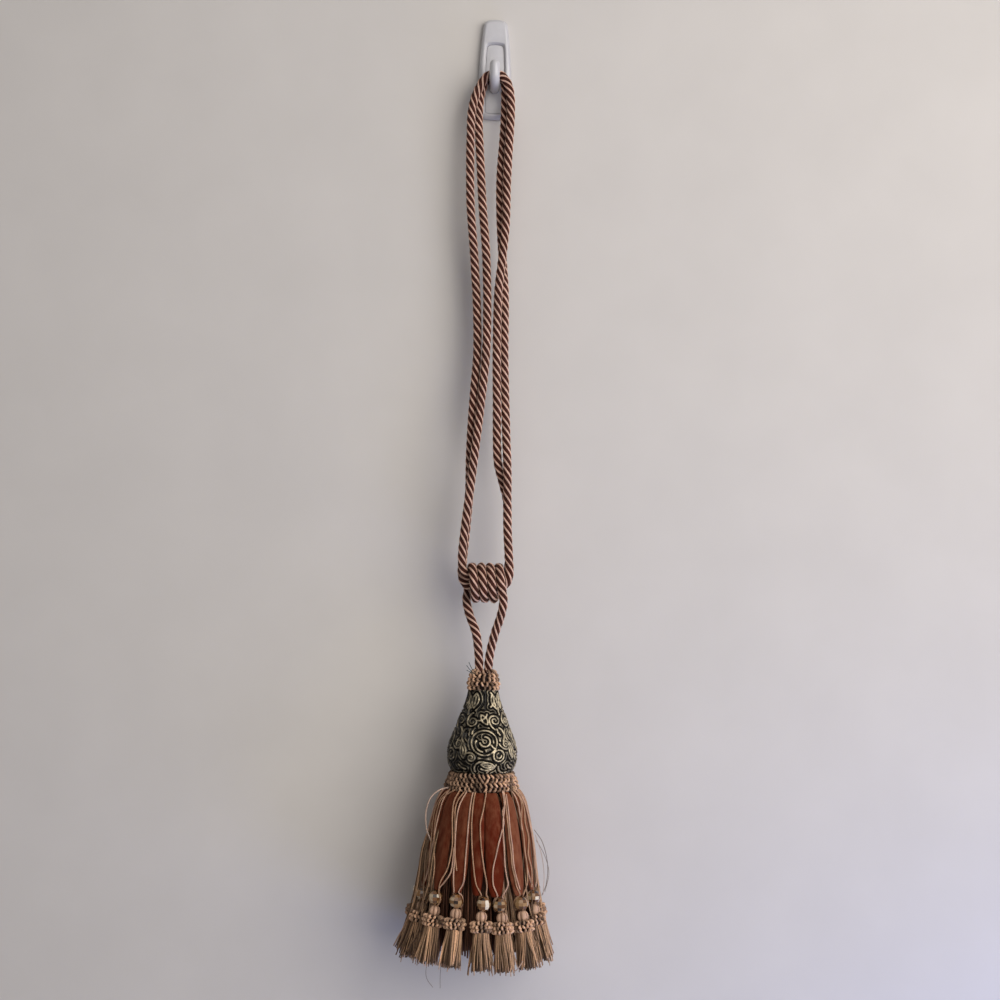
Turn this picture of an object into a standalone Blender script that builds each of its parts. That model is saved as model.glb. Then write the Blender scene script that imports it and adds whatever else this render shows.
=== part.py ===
"""Curtain tieback tassel, hanging from a plain adhesive wall hook.

Metres, +Z up. The wall is the plane Y = 0 and the front faces -Y. The origin is the
middle of the back face of the hook's plate. What hangs from the hook leans out from
the wall along one straight line, because the skirt's back rests near the wall.
Sizes below are in millimetres and are turned to metres where a mesh is made.
"""

import math

import bmesh
import bpy
from mathutils import Matrix, Vector

MM = 0.001
GAP = 0.3

# Hook: a tapered plate with a soft rim, a panel set into its pocket, and an arm that turns up.
PLATE_DEEP = 8.0
PLATE_RIM = 3.2
PLATE_OUTLINE = (  # half width, height, down the right side
    (0.0, 49.2),
    (5.2, 48.8),
    (9.2, 47.6),
    (11.3, 45.2),
    (12.2, 41.0),
    (13.2, 33.0),
    (14.4, 21.0),
    (15.4, 7.0),
    (16.0, -8.0),
    (16.0, -41.0),
    (15.2, -46.0),
    (12.5, -48.6),
    (7.0, -49.3),
    (0.0, -49.5),
)
POCKET_OUTLINE = (
    (0.0, 25.6),
    (5.0, 25.2),
    (8.4, 24.0),
    (9.7, 21.0),
    (10.3, 12.0),
    (10.8, -2.0),
    (10.9, -20.0),
    (10.9, -41.0),
    (10.2, -44.6),
    (7.6, -46.0),
    (0.0, -46.2),
)
POCKET_SLOPE = 1.6  # how far its sloping sides come in
POCKET_SLOPE_OFF = 5.8  # off the wall, where the slope ends
POCKET_FLOOR_OFF = 3.0
PANEL_FRONT_OFF = 5.6
ARM_RADIUS = 5.0
ARM_ROUTE = (  # off the wall, height, share of the arm's radius
    (4.2, -20.0, 1.0),
    (15.0, -20.0, 1.0),
    (23.0, -20.0, 1.0),
    (27.6, -18.9, 1.0),
    (31.0, -15.6, 1.0),
    (32.2, -11.0, 1.0),
    (32.2, -4.6, 1.0),
    (32.2, -2.4, 0.9),
    (32.2, -0.7, 0.66),
    (32.2, 0.0, 0.2),
)

# The line that everything hangs on, from the top of the hook's arm.
HANG_TOP = -12.0
HANG_OFF_WALL = 18.2
HANG_LEAN = math.radians(3.0)

ROPE_RADIUS = 4.0
LOOP_LONGEST_RUN = 45.0
LOOP_MOST_TURN = math.radians(20.0)
NECK_LONGEST_RUN = 20.0
NECK_MOST_TURN = math.radians(27.0)

# Loop rope: wound round twice, over the arm and through the knot, its two ends
# meeting in the middle of the knot. Rows are: to the right, forward of the line, height.
LOOP_ROUTE = (
    # Right out of the knot's lower pass, and up in front.
    (0.2, 0.0, -511.4),
    (6.5, 0.0, -511.4),
    (12.9, 0.6, -510.9),
    (19.3, 2.9, -507.2),
    (22.6, 4.9, -499.0),
    (22.2, 5.0, -484.0),
    (20.3, 4.4, -455.0),
    (19.6, 4.2, -428.0),
    (19.4, 4.0, -410.0),
    (18.9, 2.7, -392.0),
    (17.8, 1.0, -372.0),
    (16.3, -1.4, -340.0),
    (14.3, -2.3, -290.0),
    (13.5, -3.5, -225.0),
    (11.0, -4.6, -193.0),
    (8.0, -3.8, -150.0),
    (7.5, -3.4, -110.0),
    (9.8, -4.2, -70.0),
    (10.6, -4.2, -46.0),
    (10.7, -4.2, -30.0),
    (10.4, -4.2, -20.5),
    (9.0, -4.2, -15.4),
    (5.3, -4.2, -11.7),
    (0.3, -4.2, -10.4),
    (-4.7, -4.2, -11.7),
    (-8.6, -4.2, -15.6),
    (-11.6, -4.2, -22.4),
    (-13.7, -4.2, -32.0),
    (-14.9, -4.2, -45.0),
    (-14.8, -4.1, -62.0),
    # Down on the left, coming to the front above the knot.
    (-12.6, -3.6, -95.0),
    (-9.6, -1.8, -140.0),
    (-5.4, 0.6, -185.0),
    (-3.2, 2.4, -235.0),
    (-3.4, 2.8, -285.0),
    (-7.2, 2.4, -331.0),
    (-12.0, 4.2, -378.0),
    (-17.0, 4.3, -424.0),
    (-20.4, 4.4, -455.0),
    (-22.4, 4.8, -478.0),
    (-22.2, 4.7, -489.0),
    (-19.2, 2.6, -498.2),
    (-12.8, 0.4, -501.9),
    (-5.0, 0.0, -502.2),
    # The knot's upper pass, and up behind.
    (5.0, 0.0, -502.2),
    (12.6, -0.8, -501.7),
    (19.0, -3.2, -497.7),
    (22.0, -4.7, -489.0),
    (21.8, -4.8, -478.0),
    (20.3, -4.4, -455.0),
    (19.4, -4.3, -428.0),
    (14.9, -4.0, -410.0),
    (10.1, -2.8, -392.0),
    (8.7, -1.1, -372.0),
    (8.1, 1.4, -340.0),
    (6.9, 2.3, -285.0),
    (7.3, 3.5, -228.0),
    (10.4, 4.6, -195.0),
    (13.2, 3.7, -160.0),
    (13.9, 3.2, -115.0),
    (15.8, 4.2, -66.0),
    (16.4, 4.2, -48.0),
    (15.9, 4.2, -34.0),
    (13.9, 4.2, -23.0),
    (10.2, 4.2, -15.6),
    (5.4, 4.2, -11.6),
    (0.0, 4.2, -10.3),
    (-5.4, 4.2, -11.8),
    (-10.2, 4.2, -16.4),
    (-15.0, 4.2, -24.8),
    (-19.2, 4.2, -35.4),
    (-21.6, 4.2, -48.0),
    (-22.3, 4.0, -64.0),
    # Down on the left, going behind above the knot.
    (-22.4, 3.4, -95.0),
    (-21.2, 1.8, -140.0),
    (-17.2, -0.6, -185.0),
    (-13.4, -2.4, -235.0),
    (-12.0, -2.8, -285.0),
    (-14.8, -2.0, -331.0),
    (-16.9, -4.2, -378.0),
    (-17.2, -4.3, -424.0),
    (-19.4, -4.4, -455.0),
    (-21.9, -5.0, -484.0),
    (-22.6, -4.9, -499.0),
    (-19.3, -2.9, -507.2),
    (-12.9, -0.6, -510.9),
    (-6.5, 0.0, -511.4),
    (-0.2, 0.0, -511.4),
)

# Neck cord: up from the head on the left, wound round the knot, down on the right.
KNOT_HEIGHT = -506.2
KNOT_HALF_TALL = 15.2
KNOT_HALF_DEEP = 11.0
KNOT_TURNS = 3.5
KNOT_PITCH = 8.5
KNOT_STEPS_A_TURN = 12
KNOT_START = -15.0
NECK_LEFT = (  # to the right, forward of the line, height
    (-4.3, 0.0, -605.6),
    (-4.3, 0.0, -590.0),
    (-5.0, -0.4, -574.0),
    (-8.0, -1.8, -554.0),
    (-14.6, -5.2, -537.0),
    (-17.8, -9.6, -524.0),
    (-16.8, -11.6, -514.5),
)
NECK_RIGHT = (
    (16.6, 10.8, -514.5),
    (17.6, 8.8, -524.0),
    (15.4, 5.6, -537.0),
    (10.0, 2.2, -554.0),
    (5.6, 0.4, -574.0),
    (4.3, 0.0, -590.0),
    (4.3, 0.0, -605.6),
)

# The tassel, in its own upright frame: the middle of the head's top face is its zero.
HEAD_TOP = -607.0
HEAD_PROFILE = (  # radius, height
    (13.8, 0.0),
    (15.4, -8.0),
    (19.6, -20.0),
    (25.0, -34.0),
    (29.8, -46.0),
    (32.3, -55.0),
    (32.5, -63.0),
    (30.8, -71.0),
    (28.4, -76.0),
    (22.0, -76.0),
    (22.0, -99.0),
)
RUFF_PROFILE = ((12.2, 17.6), (14.6, 11.0), (15.2, 3.5), (14.2, 0.3))
RUFF_HOLE = (9.4, 5.3)  # half across, half deep: two ropes side by side
COLLAR_PROFILE = (
    (29.4, -76.3),
    (31.4, -78.6),
    (33.4, -83.4),
    (35.8, -88.4),
    (36.4, -91.0),
    (35.0, -92.3),
    (22.3, -92.3),
    (22.3, -76.3),
)
ROUND_STEPS = 24

# Under skirt: a bell of hanging yarn, slit into a comb below its heading.
SKIRT_PROFILE = (  # outer radius, height
    (27.4, -92.6),
    (32.4, -96.4),
    (36.4, -104.0),
    (39.4, -118.0),
    (41.6, -150.0),
    (42.4, -195.0),
    (44.0, -236.0),
)
SKIRT_THICK = 3.0
SKIRT_COMBS = 16
SKIRT_SLOT_FROM = 3  # the slits start below this row
SKIRT_SLOT_SHARE = 0.16
SKIRT_REACH_BACK = 36.5

# Petals: leaf-shaped velvet tongues that end at the beads.
PETAL_LINE = (  # out from the axis, height, half width
    (32.6, -93.0, 5.9),
    (37.0, -96.6, 6.7),
    (40.6, -103.0, 7.5),
    (44.0, -114.0, 8.2),
    (47.6, -129.0, 8.8),
    (50.6, -146.0, 8.8),
    (53.2, -162.0, 7.0),
    (55.2, -173.0, 4.0),
    (56.2, -180.0, 1.9),
)
PETAL_THICK = 1.2
PETAL_CROWN = 1.4
PETAL_FULL_CROWN_HALF = 6.0  # half width from which the crown is full
PETAL_ACROSS = 4

BEAD_RADIUS = 6.5
BEAD_OUT = 56.5
BEAD_HEIGHT = -187.4
BEAD_SIDES = 8
BEAD_RINGS = 6
MINI_TOP_BELOW_BEAD = 7.0
MINI_OUT = 56.6
MINI_LEAN = math.radians(11.0)
MINI_PROFILE = (  # radius, height, depth of the fluting
    (3.4, 0.0, 0.0),
    (6.1, -3.0, 0.0),
    (5.8, -6.8, 0.0),
    (9.5, -8.4, 0.0),
    (9.5, -18.6, 0.0),
    (7.2, -20.2, 0.0),
    (8.1, -28.0, 0.4),
    (9.2, -39.0, 0.7),
    (10.0, -50.0, 0.9),
)
MINI_SIDES = 12
REACH_BACK = 48.0
RIGHT_SET_IN = 6.0  # the beads at the right-hand side hang this much closer to the axis

# Round from the right-hand side towards the wall: the petal's angle, its share of the full
# width, the bead's angle, the small tassel's angle, and how much lower the unit hangs.
UNITS = (
    (-134.5, 1.0, -134.5, -134.5, -1.0),
    (-111.5, 0.98, -111.0, -111.0, -1.0),
    (-92.5, 0.72, -85.5, -87.5, 0.5),
    (-74.0, 1.02, -70.5, -68.5, 2.0),
    (-49.5, 1.0, -47.0, -46.0, 2.5),
    (-25.5, 1.0, -23.0, -23.0, 0.5),
    (-0.5, 1.0, 1.0, 1.0, -3.0),
    (24.0, 1.0, 26.0, 26.0, 0.0),
    (48.0, 1.0, 48.5, 48.5, 1.0),
    (69.5, 0.9, 69.5, 69.5, -0.5),
    (90.0, 0.9, 90.0, 90.0, 0.0),
    (110.5, 0.9, 110.5, 110.5, 1.0),
    (132.0, 0.98, 131.5, 131.5, -1.0),
    (155.5, 1.0, 154.0, 154.0, 0.5),
    (179.0, 1.0, 179.0, 179.0, 0.0),
    (-157.3, 1.0, -157.0, -157.0, -0.5),
)


def clear_scene():
    for obj in list(bpy.data.objects):
        bpy.data.objects.remove(obj)


def material(name, colour, roughness, metallic=0.0):
    made = bpy.data.materials.new(name)
    made.use_nodes = True
    shader = made.node_tree.nodes["Principled BSDF"]
    shader.inputs["Base Color"].default_value = (*colour, 1.0)
    shader.inputs["Roughness"].default_value = roughness
    shader.inputs["Metallic"].default_value = metallic
    return made


def add_object(name, data, finish, parent=None):
    obj = bpy.data.objects.new(name, data)
    data.materials.append(finish)
    bpy.context.scene.collection.objects.link(obj)
    obj.parent = parent
    return obj


def add_mesh(name, mesh, finish, parent=None):
    data = bpy.data.meshes.new(name)
    bmesh.ops.recalc_face_normals(mesh, faces=mesh.faces)
    mesh.to_mesh(data)
    mesh.free()
    data.shade_smooth()
    data.set_sharp_from_angle(angle=math.radians(40.0))
    return add_object(name, data, finish, parent)


def plate_rows(outline, steps):
    """Rings of a plate alike left and right. A step is how far in it comes and how far off the wall."""
    tall = (outline[0][1] - outline[-1][1]) / 2
    middle = (outline[0][1] + outline[-1][1]) / 2
    half = max(across for across, _ in outline)
    left = [(-across, height) for across, height in outline[-2:0:-1]]
    rows = []
    for inset, off in steps:
        across_share, tall_share = 1.0 - inset / half, 1.0 - inset / tall
        rows.append(
            [
                (x * across_share, -off, middle + (z - middle) * tall_share)
                for x, z in [*outline, *left]
            ]
        )
    return rows


def rounded_steps(back, front, rim, steps=3):
    """Steps from a square back to a front whose rim is round."""
    turns = [math.pi / 2 * step / steps for step in range(steps + 1)]
    round_off = [(rim * (1 - math.cos(t)), front - rim + rim * math.sin(t)) for t in turns]
    return [(0.0, back), *round_off]


def turned(profile, steps=ROUND_STEPS, closed_ring=False):
    """A round solid from radius and height rows, run down its outer side."""
    mesh = bmesh.new()
    verts = [mesh.verts.new(Vector((radius, 0.0, height)) * MM) for radius, height in profile]
    edges = [mesh.edges.new(pair) for pair in zip(verts, verts[1:])]
    if closed_ring:
        edges.append(mesh.edges.new((verts[-1], verts[0])))
    bmesh.ops.spin(
        mesh,
        geom=verts + edges,
        axis=(0.0, 0.0, 1.0),
        cent=(0.0, 0.0, 0.0),
        angle=math.tau,
        steps=steps,
        use_merge=True,
    )
    bmesh.ops.remove_doubles(mesh, verts=mesh.verts, dist=1e-6)
    if not closed_ring:
        bmesh.ops.holes_fill(mesh, edges=mesh.edges, sides=0)
    return mesh


def loft(mesh, rows, rounds_off):
    """Faces between rows of places, each row a closed ring. A closed loft joins its last row to its first."""
    rings = [[mesh.verts.new(Vector(place) * MM) for place in row] for row in rows]
    following = rings[1:] + (rings[:1] if rounds_off else [])
    for upper, lower in zip(rings, following):
        for step, corner in enumerate(upper):
            after = (step + 1) % len(upper)
            mesh.faces.new((corner, lower[step], lower[after], upper[after]))
    if not rounds_off:
        mesh.faces.new(rings[0])
        mesh.faces.new(rings[-1][::-1])


def pressed(angle, radius, reach):
    """A place round the axis. Behind it the ring is pressed flat, no further back than its reach."""
    x = radius * math.cos(angle)
    y = radius * math.sin(angle)
    if y > 0.0:
        y *= min(1.0, reach / radius)
    return x, y


def set_in(angle):
    """How much closer to the axis than the others a bead hangs."""
    return RIGHT_SET_IN * max(0.0, math.cos(angle)) ** 12


def on_line(right, forward, height):
    """A place beside the line that everything hangs on, in metres."""
    off_wall = HANG_OFF_WALL + math.tan(HANG_LEAN) * (HANG_TOP - height)
    return Vector((right, -(off_wall + forward), height)) * MM


def smooth_curve(route, steps=10):
    """Points on a smooth curve through the route's own points."""
    ends = [route[0] * 2 - route[1]] + list(route) + [route[-1] * 2 - route[-2]]
    points = []
    for before, here, after, beyond in zip(ends, ends[1:], ends[2:], ends[3:]):
        span = (after - here).length
        leave = (after - before) * span / ((here - before).length + span)
        arrive = (beyond - here) * span / ((beyond - after).length + span)
        for step in range(steps):
            t = step / steps
            points.append(
                here * (2 * t**3 - 3 * t**2 + 1)
                + leave * (t**3 - 2 * t**2 + t)
                + after * (3 * t**2 - 2 * t**3)
                + arrive * (t**3 - t**2)
            )
    points.append(route[-1])
    return points


def thinned(points, longest, most_turn):
    """The curve's points that a plain tube needs: close in bends, far apart along straight runs."""
    kept = [points[0]]
    along = turned_by = 0.0
    for before, here, after in zip(points, points[1:], points[2:]):
        step = (after - here).length
        along += step
        turned_by += (here - before).angle(after - here)
        if along + step > longest or turned_by > most_turn:
            kept.append(here)
            along = turned_by = 0.0
    kept.append(points[-1])
    return kept


def tube(name, points, radius, finish, shares=None):
    curve = bpy.data.curves.new(name, "CURVE")
    curve.dimensions = "3D"
    curve.bevel_depth = radius * MM
    curve.bevel_resolution = 2
    curve.use_fill_caps = True
    spline = curve.splines.new("POLY")
    spline.points.add(len(points) - 1)
    for index, point in enumerate(points):
        spline.points[index].co = (*point, 1.0)
        spline.points[index].radius = shares[index] if shares else 1.0
    return add_object(name, curve, finish)


def cut_helper(name, mesh):
    """A shape that only cuts or joins another."""
    bmesh.ops.remove_doubles(mesh, verts=mesh.verts, dist=1e-6)
    bmesh.ops.recalc_face_normals(mesh, faces=mesh.faces)
    data = bpy.data.meshes.new(name)
    mesh.to_mesh(data)
    mesh.free()
    helper = bpy.data.objects.new(name, data)
    bpy.context.scene.collection.objects.link(helper)
    helper.hide_render = True
    helper.display_type = "WIRE"
    return helper


def make_hook(plastic):
    plate_mesh = bmesh.new()
    steps = rounded_steps(0.0, PLATE_DEEP, PLATE_RIM)
    loft(plate_mesh, plate_rows(PLATE_OUTLINE, steps), rounds_off=False)
    plate = add_mesh("hook_plate", plate_mesh, plastic)
    pocket = bmesh.new()
    flare = POCKET_SLOPE / (PLATE_DEEP - POCKET_SLOPE_OFF)
    steps = [
        (POCKET_SLOPE, POCKET_FLOOR_OFF),
        (POCKET_SLOPE, POCKET_SLOPE_OFF),
        (-flare, PLATE_DEEP + 1.0),
    ]
    loft(pocket, plate_rows(POCKET_OUTLINE, steps), rounds_off=False)
    cut = plate.modifiers.new("pocket", "BOOLEAN")
    cut.operation = "DIFFERENCE"
    cut.object = cut_helper("pocket_shape", pocket)
    panel = bmesh.new()
    steps = rounded_steps(POCKET_FLOOR_OFF + GAP, PANEL_FRONT_OFF, 0.4, 1)
    steps = [(inset + POCKET_SLOPE + GAP, off) for inset, off in steps]
    loft(panel, plate_rows(POCKET_OUTLINE, steps), rounds_off=False)
    hook = add_mesh("hook_body", panel, plastic)
    centre = [Vector((0.0, -off, height)) * MM for off, height, _ in ARM_ROUTE]
    arm = tube("arm_curve", centre, ARM_RADIUS, plastic, [share for _, _, share in ARM_ROUTE])
    arm.data.bevel_resolution = 4
    bpy.context.view_layer.update()
    arm_mesh = bpy.data.meshes.new_from_object(
        arm.evaluated_get(bpy.context.evaluated_depsgraph_get())
    )
    bpy.data.objects.remove(arm)
    cleaned = bmesh.new()
    cleaned.from_mesh(arm_mesh)
    join = hook.modifiers.new("arm", "BOOLEAN")
    join.operation = "UNION"
    join.object = cut_helper("arm_shape", cleaned)


def make_ropes(rope):
    loop = smooth_curve([on_line(*row) for row in LOOP_ROUTE])
    tube("loop_rope", thinned(loop, LOOP_LONGEST_RUN * MM, LOOP_MOST_TURN), ROPE_RADIUS, rope)
    steps = round(KNOT_TURNS * KNOT_STEPS_A_TURN)
    wraps = []
    for step in range(steps + 1):
        turn = math.tau * step / KNOT_STEPS_A_TURN
        wraps.append(
            on_line(
                KNOT_START + KNOT_PITCH * step / KNOT_STEPS_A_TURN,
                -KNOT_HALF_DEEP * math.cos(turn),
                KNOT_HEIGHT + KNOT_HALF_TALL * math.sin(turn),
            )
        )
    left = [on_line(*row) for row in NECK_LEFT]
    right = [on_line(*row) for row in NECK_RIGHT]
    neck = smooth_curve(left + wraps + right, steps=4)
    tube("neck_cord", thinned(neck, NECK_LONGEST_RUN * MM, NECK_MOST_TURN), ROPE_RADIUS, rope)


def make_top_ruff(yarn, tassel):
    """A knotted ring round the two neck ropes, with an oval hole for them."""
    mesh = bmesh.new()
    hole_top = (*RUFF_HOLE, RUFF_PROFILE[0][1])
    hole_bottom = (*RUFF_HOLE, RUFF_PROFILE[-1][1])
    outside = [(radius, radius, height) for radius, height in RUFF_PROFILE]
    turns = [math.tau * step / ROUND_STEPS for step in range(ROUND_STEPS)]
    rows = [
        [(across * math.cos(turn), deep * math.sin(turn), height) for turn in turns]
        for across, deep, height in [hole_top, *outside, hole_bottom]
    ]
    loft(mesh, rows, rounds_off=True)
    return add_mesh("top_ruff", mesh, yarn, tassel)


def make_under_skirt(yarn, tassel):
    mesh = bmesh.new()
    columns = []
    for comb in range(SKIRT_COMBS):
        for share in (0.0, 1.0 - SKIRT_SLOT_SHARE):
            columns.append(math.tau * (comb + share) / SKIRT_COMBS)
    rows = []
    for radius, height in SKIRT_PROFILE:
        row = []
        for angle in columns:
            x, y = pressed(angle, radius, SKIRT_REACH_BACK)
            row.append(mesh.verts.new(Vector((x, y, height)) * MM))
        rows.append(row)
    for level, (upper, lower) in enumerate(zip(rows, rows[1:])):
        for column in range(len(columns)):
            slit = column % 2 == 1 and level >= SKIRT_SLOT_FROM
            if not slit:
                after = (column + 1) % len(columns)
                mesh.faces.new((upper[column], lower[column], lower[after], upper[after]))
    skirt = add_mesh("under_skirt", mesh, yarn, tassel)
    wall = skirt.modifiers.new("thickness", "SOLIDIFY")
    wall.thickness = SKIRT_THICK * MM
    wall.offset = -1.0


def make_petal(name, angle, share, drop, velvet, tassel):
    """A tongue of velvet, crowned across its width, that narrows to its bead."""
    mesh = bmesh.new()
    rows = []
    top = PETAL_LINE[0][1]
    bottom = PETAL_LINE[-1][1]
    for out, height, half in PETAL_LINE:
        row = []
        down = (top - height) / (top - bottom)
        lowered = height - drop * down
        out -= set_in(angle) * down**2
        for column in range(PETAL_ACROSS + 1):
            across = 2.0 * column / PETAL_ACROSS - 1.0
            lift = PETAL_CROWN * (1.0 - across * across) * min(1.0, half / PETAL_FULL_CROWN_HALF)
            x, y = pressed(angle + across * half * share / out, out + lift, REACH_BACK)
            row.append(mesh.verts.new(Vector((x, y, lowered)) * MM))
        rows.append(row)
    for upper, lower in zip(rows, rows[1:]):
        for column in range(PETAL_ACROSS):
            mesh.faces.new((upper[column], lower[column], lower[column + 1], upper[column + 1]))
    petal = add_mesh(name, mesh, velvet, tassel)
    cloth = petal.modifiers.new("thickness", "SOLIDIFY")
    cloth.thickness = PETAL_THICK * MM
    cloth.offset = -1.0


def make_bead(name, angle, drop, glass, tassel):
    mesh = bmesh.new()
    bmesh.ops.create_uvsphere(
        mesh, u_segments=BEAD_SIDES, v_segments=BEAD_RINGS, radius=BEAD_RADIUS * MM
    )
    bead = add_mesh(name, mesh, glass, tassel)
    bead.data.shade_flat()
    x, y = pressed(angle, BEAD_OUT - set_in(angle), REACH_BACK)
    bead.location = Vector((x, y, BEAD_HEIGHT - drop)) * MM


def make_mini_tassel(name, angle, drop, yarn, tassel):
    """A small tassel: round head, knotted ruff and fluted fringe. Those behind hang straight."""
    mesh = bmesh.new()
    rows = []
    for radius, height, flute in MINI_PROFILE:
        row = []
        for step in range(MINI_SIDES):
            turn = math.tau * step / MINI_SIDES
            bumped = radius + (flute if step % 2 else -flute)
            row.append((bumped * math.cos(turn), bumped * math.sin(turn), height))
        rows.append(row)
    loft(mesh, rows, rounds_off=False)
    mini = add_mesh(name, mesh, yarn, tassel)
    x, y = pressed(angle, MINI_OUT - set_in(angle), REACH_BACK)
    top = BEAD_HEIGHT - drop - MINI_TOP_BELOW_BEAD
    outward = Vector((math.cos(angle), min(math.sin(angle), 0.0), 0.0))
    swing = Vector((0.0, 0.0, 1.0)).cross(outward) * -MINI_LEAN
    mini.matrix_local = (
        Matrix.Translation(Vector((x, y, top)) * MM)
        @ Matrix.Rotation(swing.length, 4, swing.normalized() if swing.length else "X")
    )


def main():
    clear_scene()
    plastic = material("white_plastic", (0.70, 0.69, 0.70), 0.38)
    rope = material("brown_rope", (0.20, 0.085, 0.055), 0.75)
    lacquer = material("antique_lacquer", (0.030, 0.028, 0.024), 0.42, 0.2)
    knots = material("rose_beige_yarn", (0.42, 0.25, 0.17), 0.85)
    velvet = material("rust_velvet", (0.16, 0.045, 0.022), 0.92)
    glass = material("champagne_crystal", (0.36, 0.28, 0.18), 0.08)
    yarn = material("tan_yarn", (0.30, 0.18, 0.12), 0.85)

    make_hook(plastic)
    make_ropes(rope)

    tassel = bpy.data.objects.new("tassel_frame", None)
    bpy.context.scene.collection.objects.link(tassel)
    tassel.location = on_line(0.0, 0.0, HEAD_TOP)
    tassel.rotation_euler = (-HANG_LEAN, 0.0, 0.0)

    make_top_ruff(knots, tassel)
    add_mesh("head", turned(HEAD_PROFILE), lacquer, tassel)
    add_mesh("collar", turned(COLLAR_PROFILE, closed_ring=True), knots, tassel)
    make_under_skirt(yarn, tassel)
    for number, (petal, share, bead, mini, drop) in enumerate(UNITS, start=1):
        make_petal(f"petal_{number:02d}", math.radians(petal), share, drop, velvet, tassel)
        make_bead(f"bead_{number:02d}", math.radians(bead), drop, glass, tassel)
        make_mini_tassel(f"mini_tassel_{number:02d}", math.radians(mini), drop, yarn, tassel)


main()
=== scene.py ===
"""Looks for a curtain tieback tassel hanging from an adhesive wall hook.

Metres, +Z up. The wall is the plane Y = 0 and the front faces -Y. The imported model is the
frame: each piece here is made where its solid stands, and stands for it. The tassel has an
upright frame of its own, whose zero is the middle of the head's top face.
"""

import math
import random
from collections import namedtuple

import bmesh
import bpy
import numpy as np
from mathutils import Matrix, Vector
from mathutils.kdtree import KDTree


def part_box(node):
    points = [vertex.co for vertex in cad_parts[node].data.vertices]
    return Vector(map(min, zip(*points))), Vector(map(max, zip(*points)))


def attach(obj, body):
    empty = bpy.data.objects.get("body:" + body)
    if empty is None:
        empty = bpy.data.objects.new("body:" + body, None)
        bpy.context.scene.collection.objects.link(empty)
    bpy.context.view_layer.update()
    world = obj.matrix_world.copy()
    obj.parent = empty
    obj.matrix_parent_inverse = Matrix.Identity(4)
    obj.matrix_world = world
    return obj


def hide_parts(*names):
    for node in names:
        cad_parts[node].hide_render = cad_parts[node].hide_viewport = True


bl_info = {
    "name": "Curtain Tieback Tassel",
    "version": (1, 0, 0),
    "blender": (4, 5, 0),
    "location": "3D View > Sidebar > Tieback",
    "description": "Makes the ropes, head, ruffs, petals, beads and fringes of a curtain tieback",
    "category": "Object",
}

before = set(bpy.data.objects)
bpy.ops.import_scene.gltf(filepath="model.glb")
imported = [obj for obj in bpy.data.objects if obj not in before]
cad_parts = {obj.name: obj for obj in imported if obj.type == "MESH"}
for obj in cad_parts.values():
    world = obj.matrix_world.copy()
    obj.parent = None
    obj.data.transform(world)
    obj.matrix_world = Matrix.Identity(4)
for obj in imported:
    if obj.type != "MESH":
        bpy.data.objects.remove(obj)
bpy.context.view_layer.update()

MM = 0.001

# The line that everything hangs on, from the top of the hook's arm.
HANG_TOP = -0.012
HANG_OFF_WALL = 0.0182
HANG_LEAN = math.radians(3.0)

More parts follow.
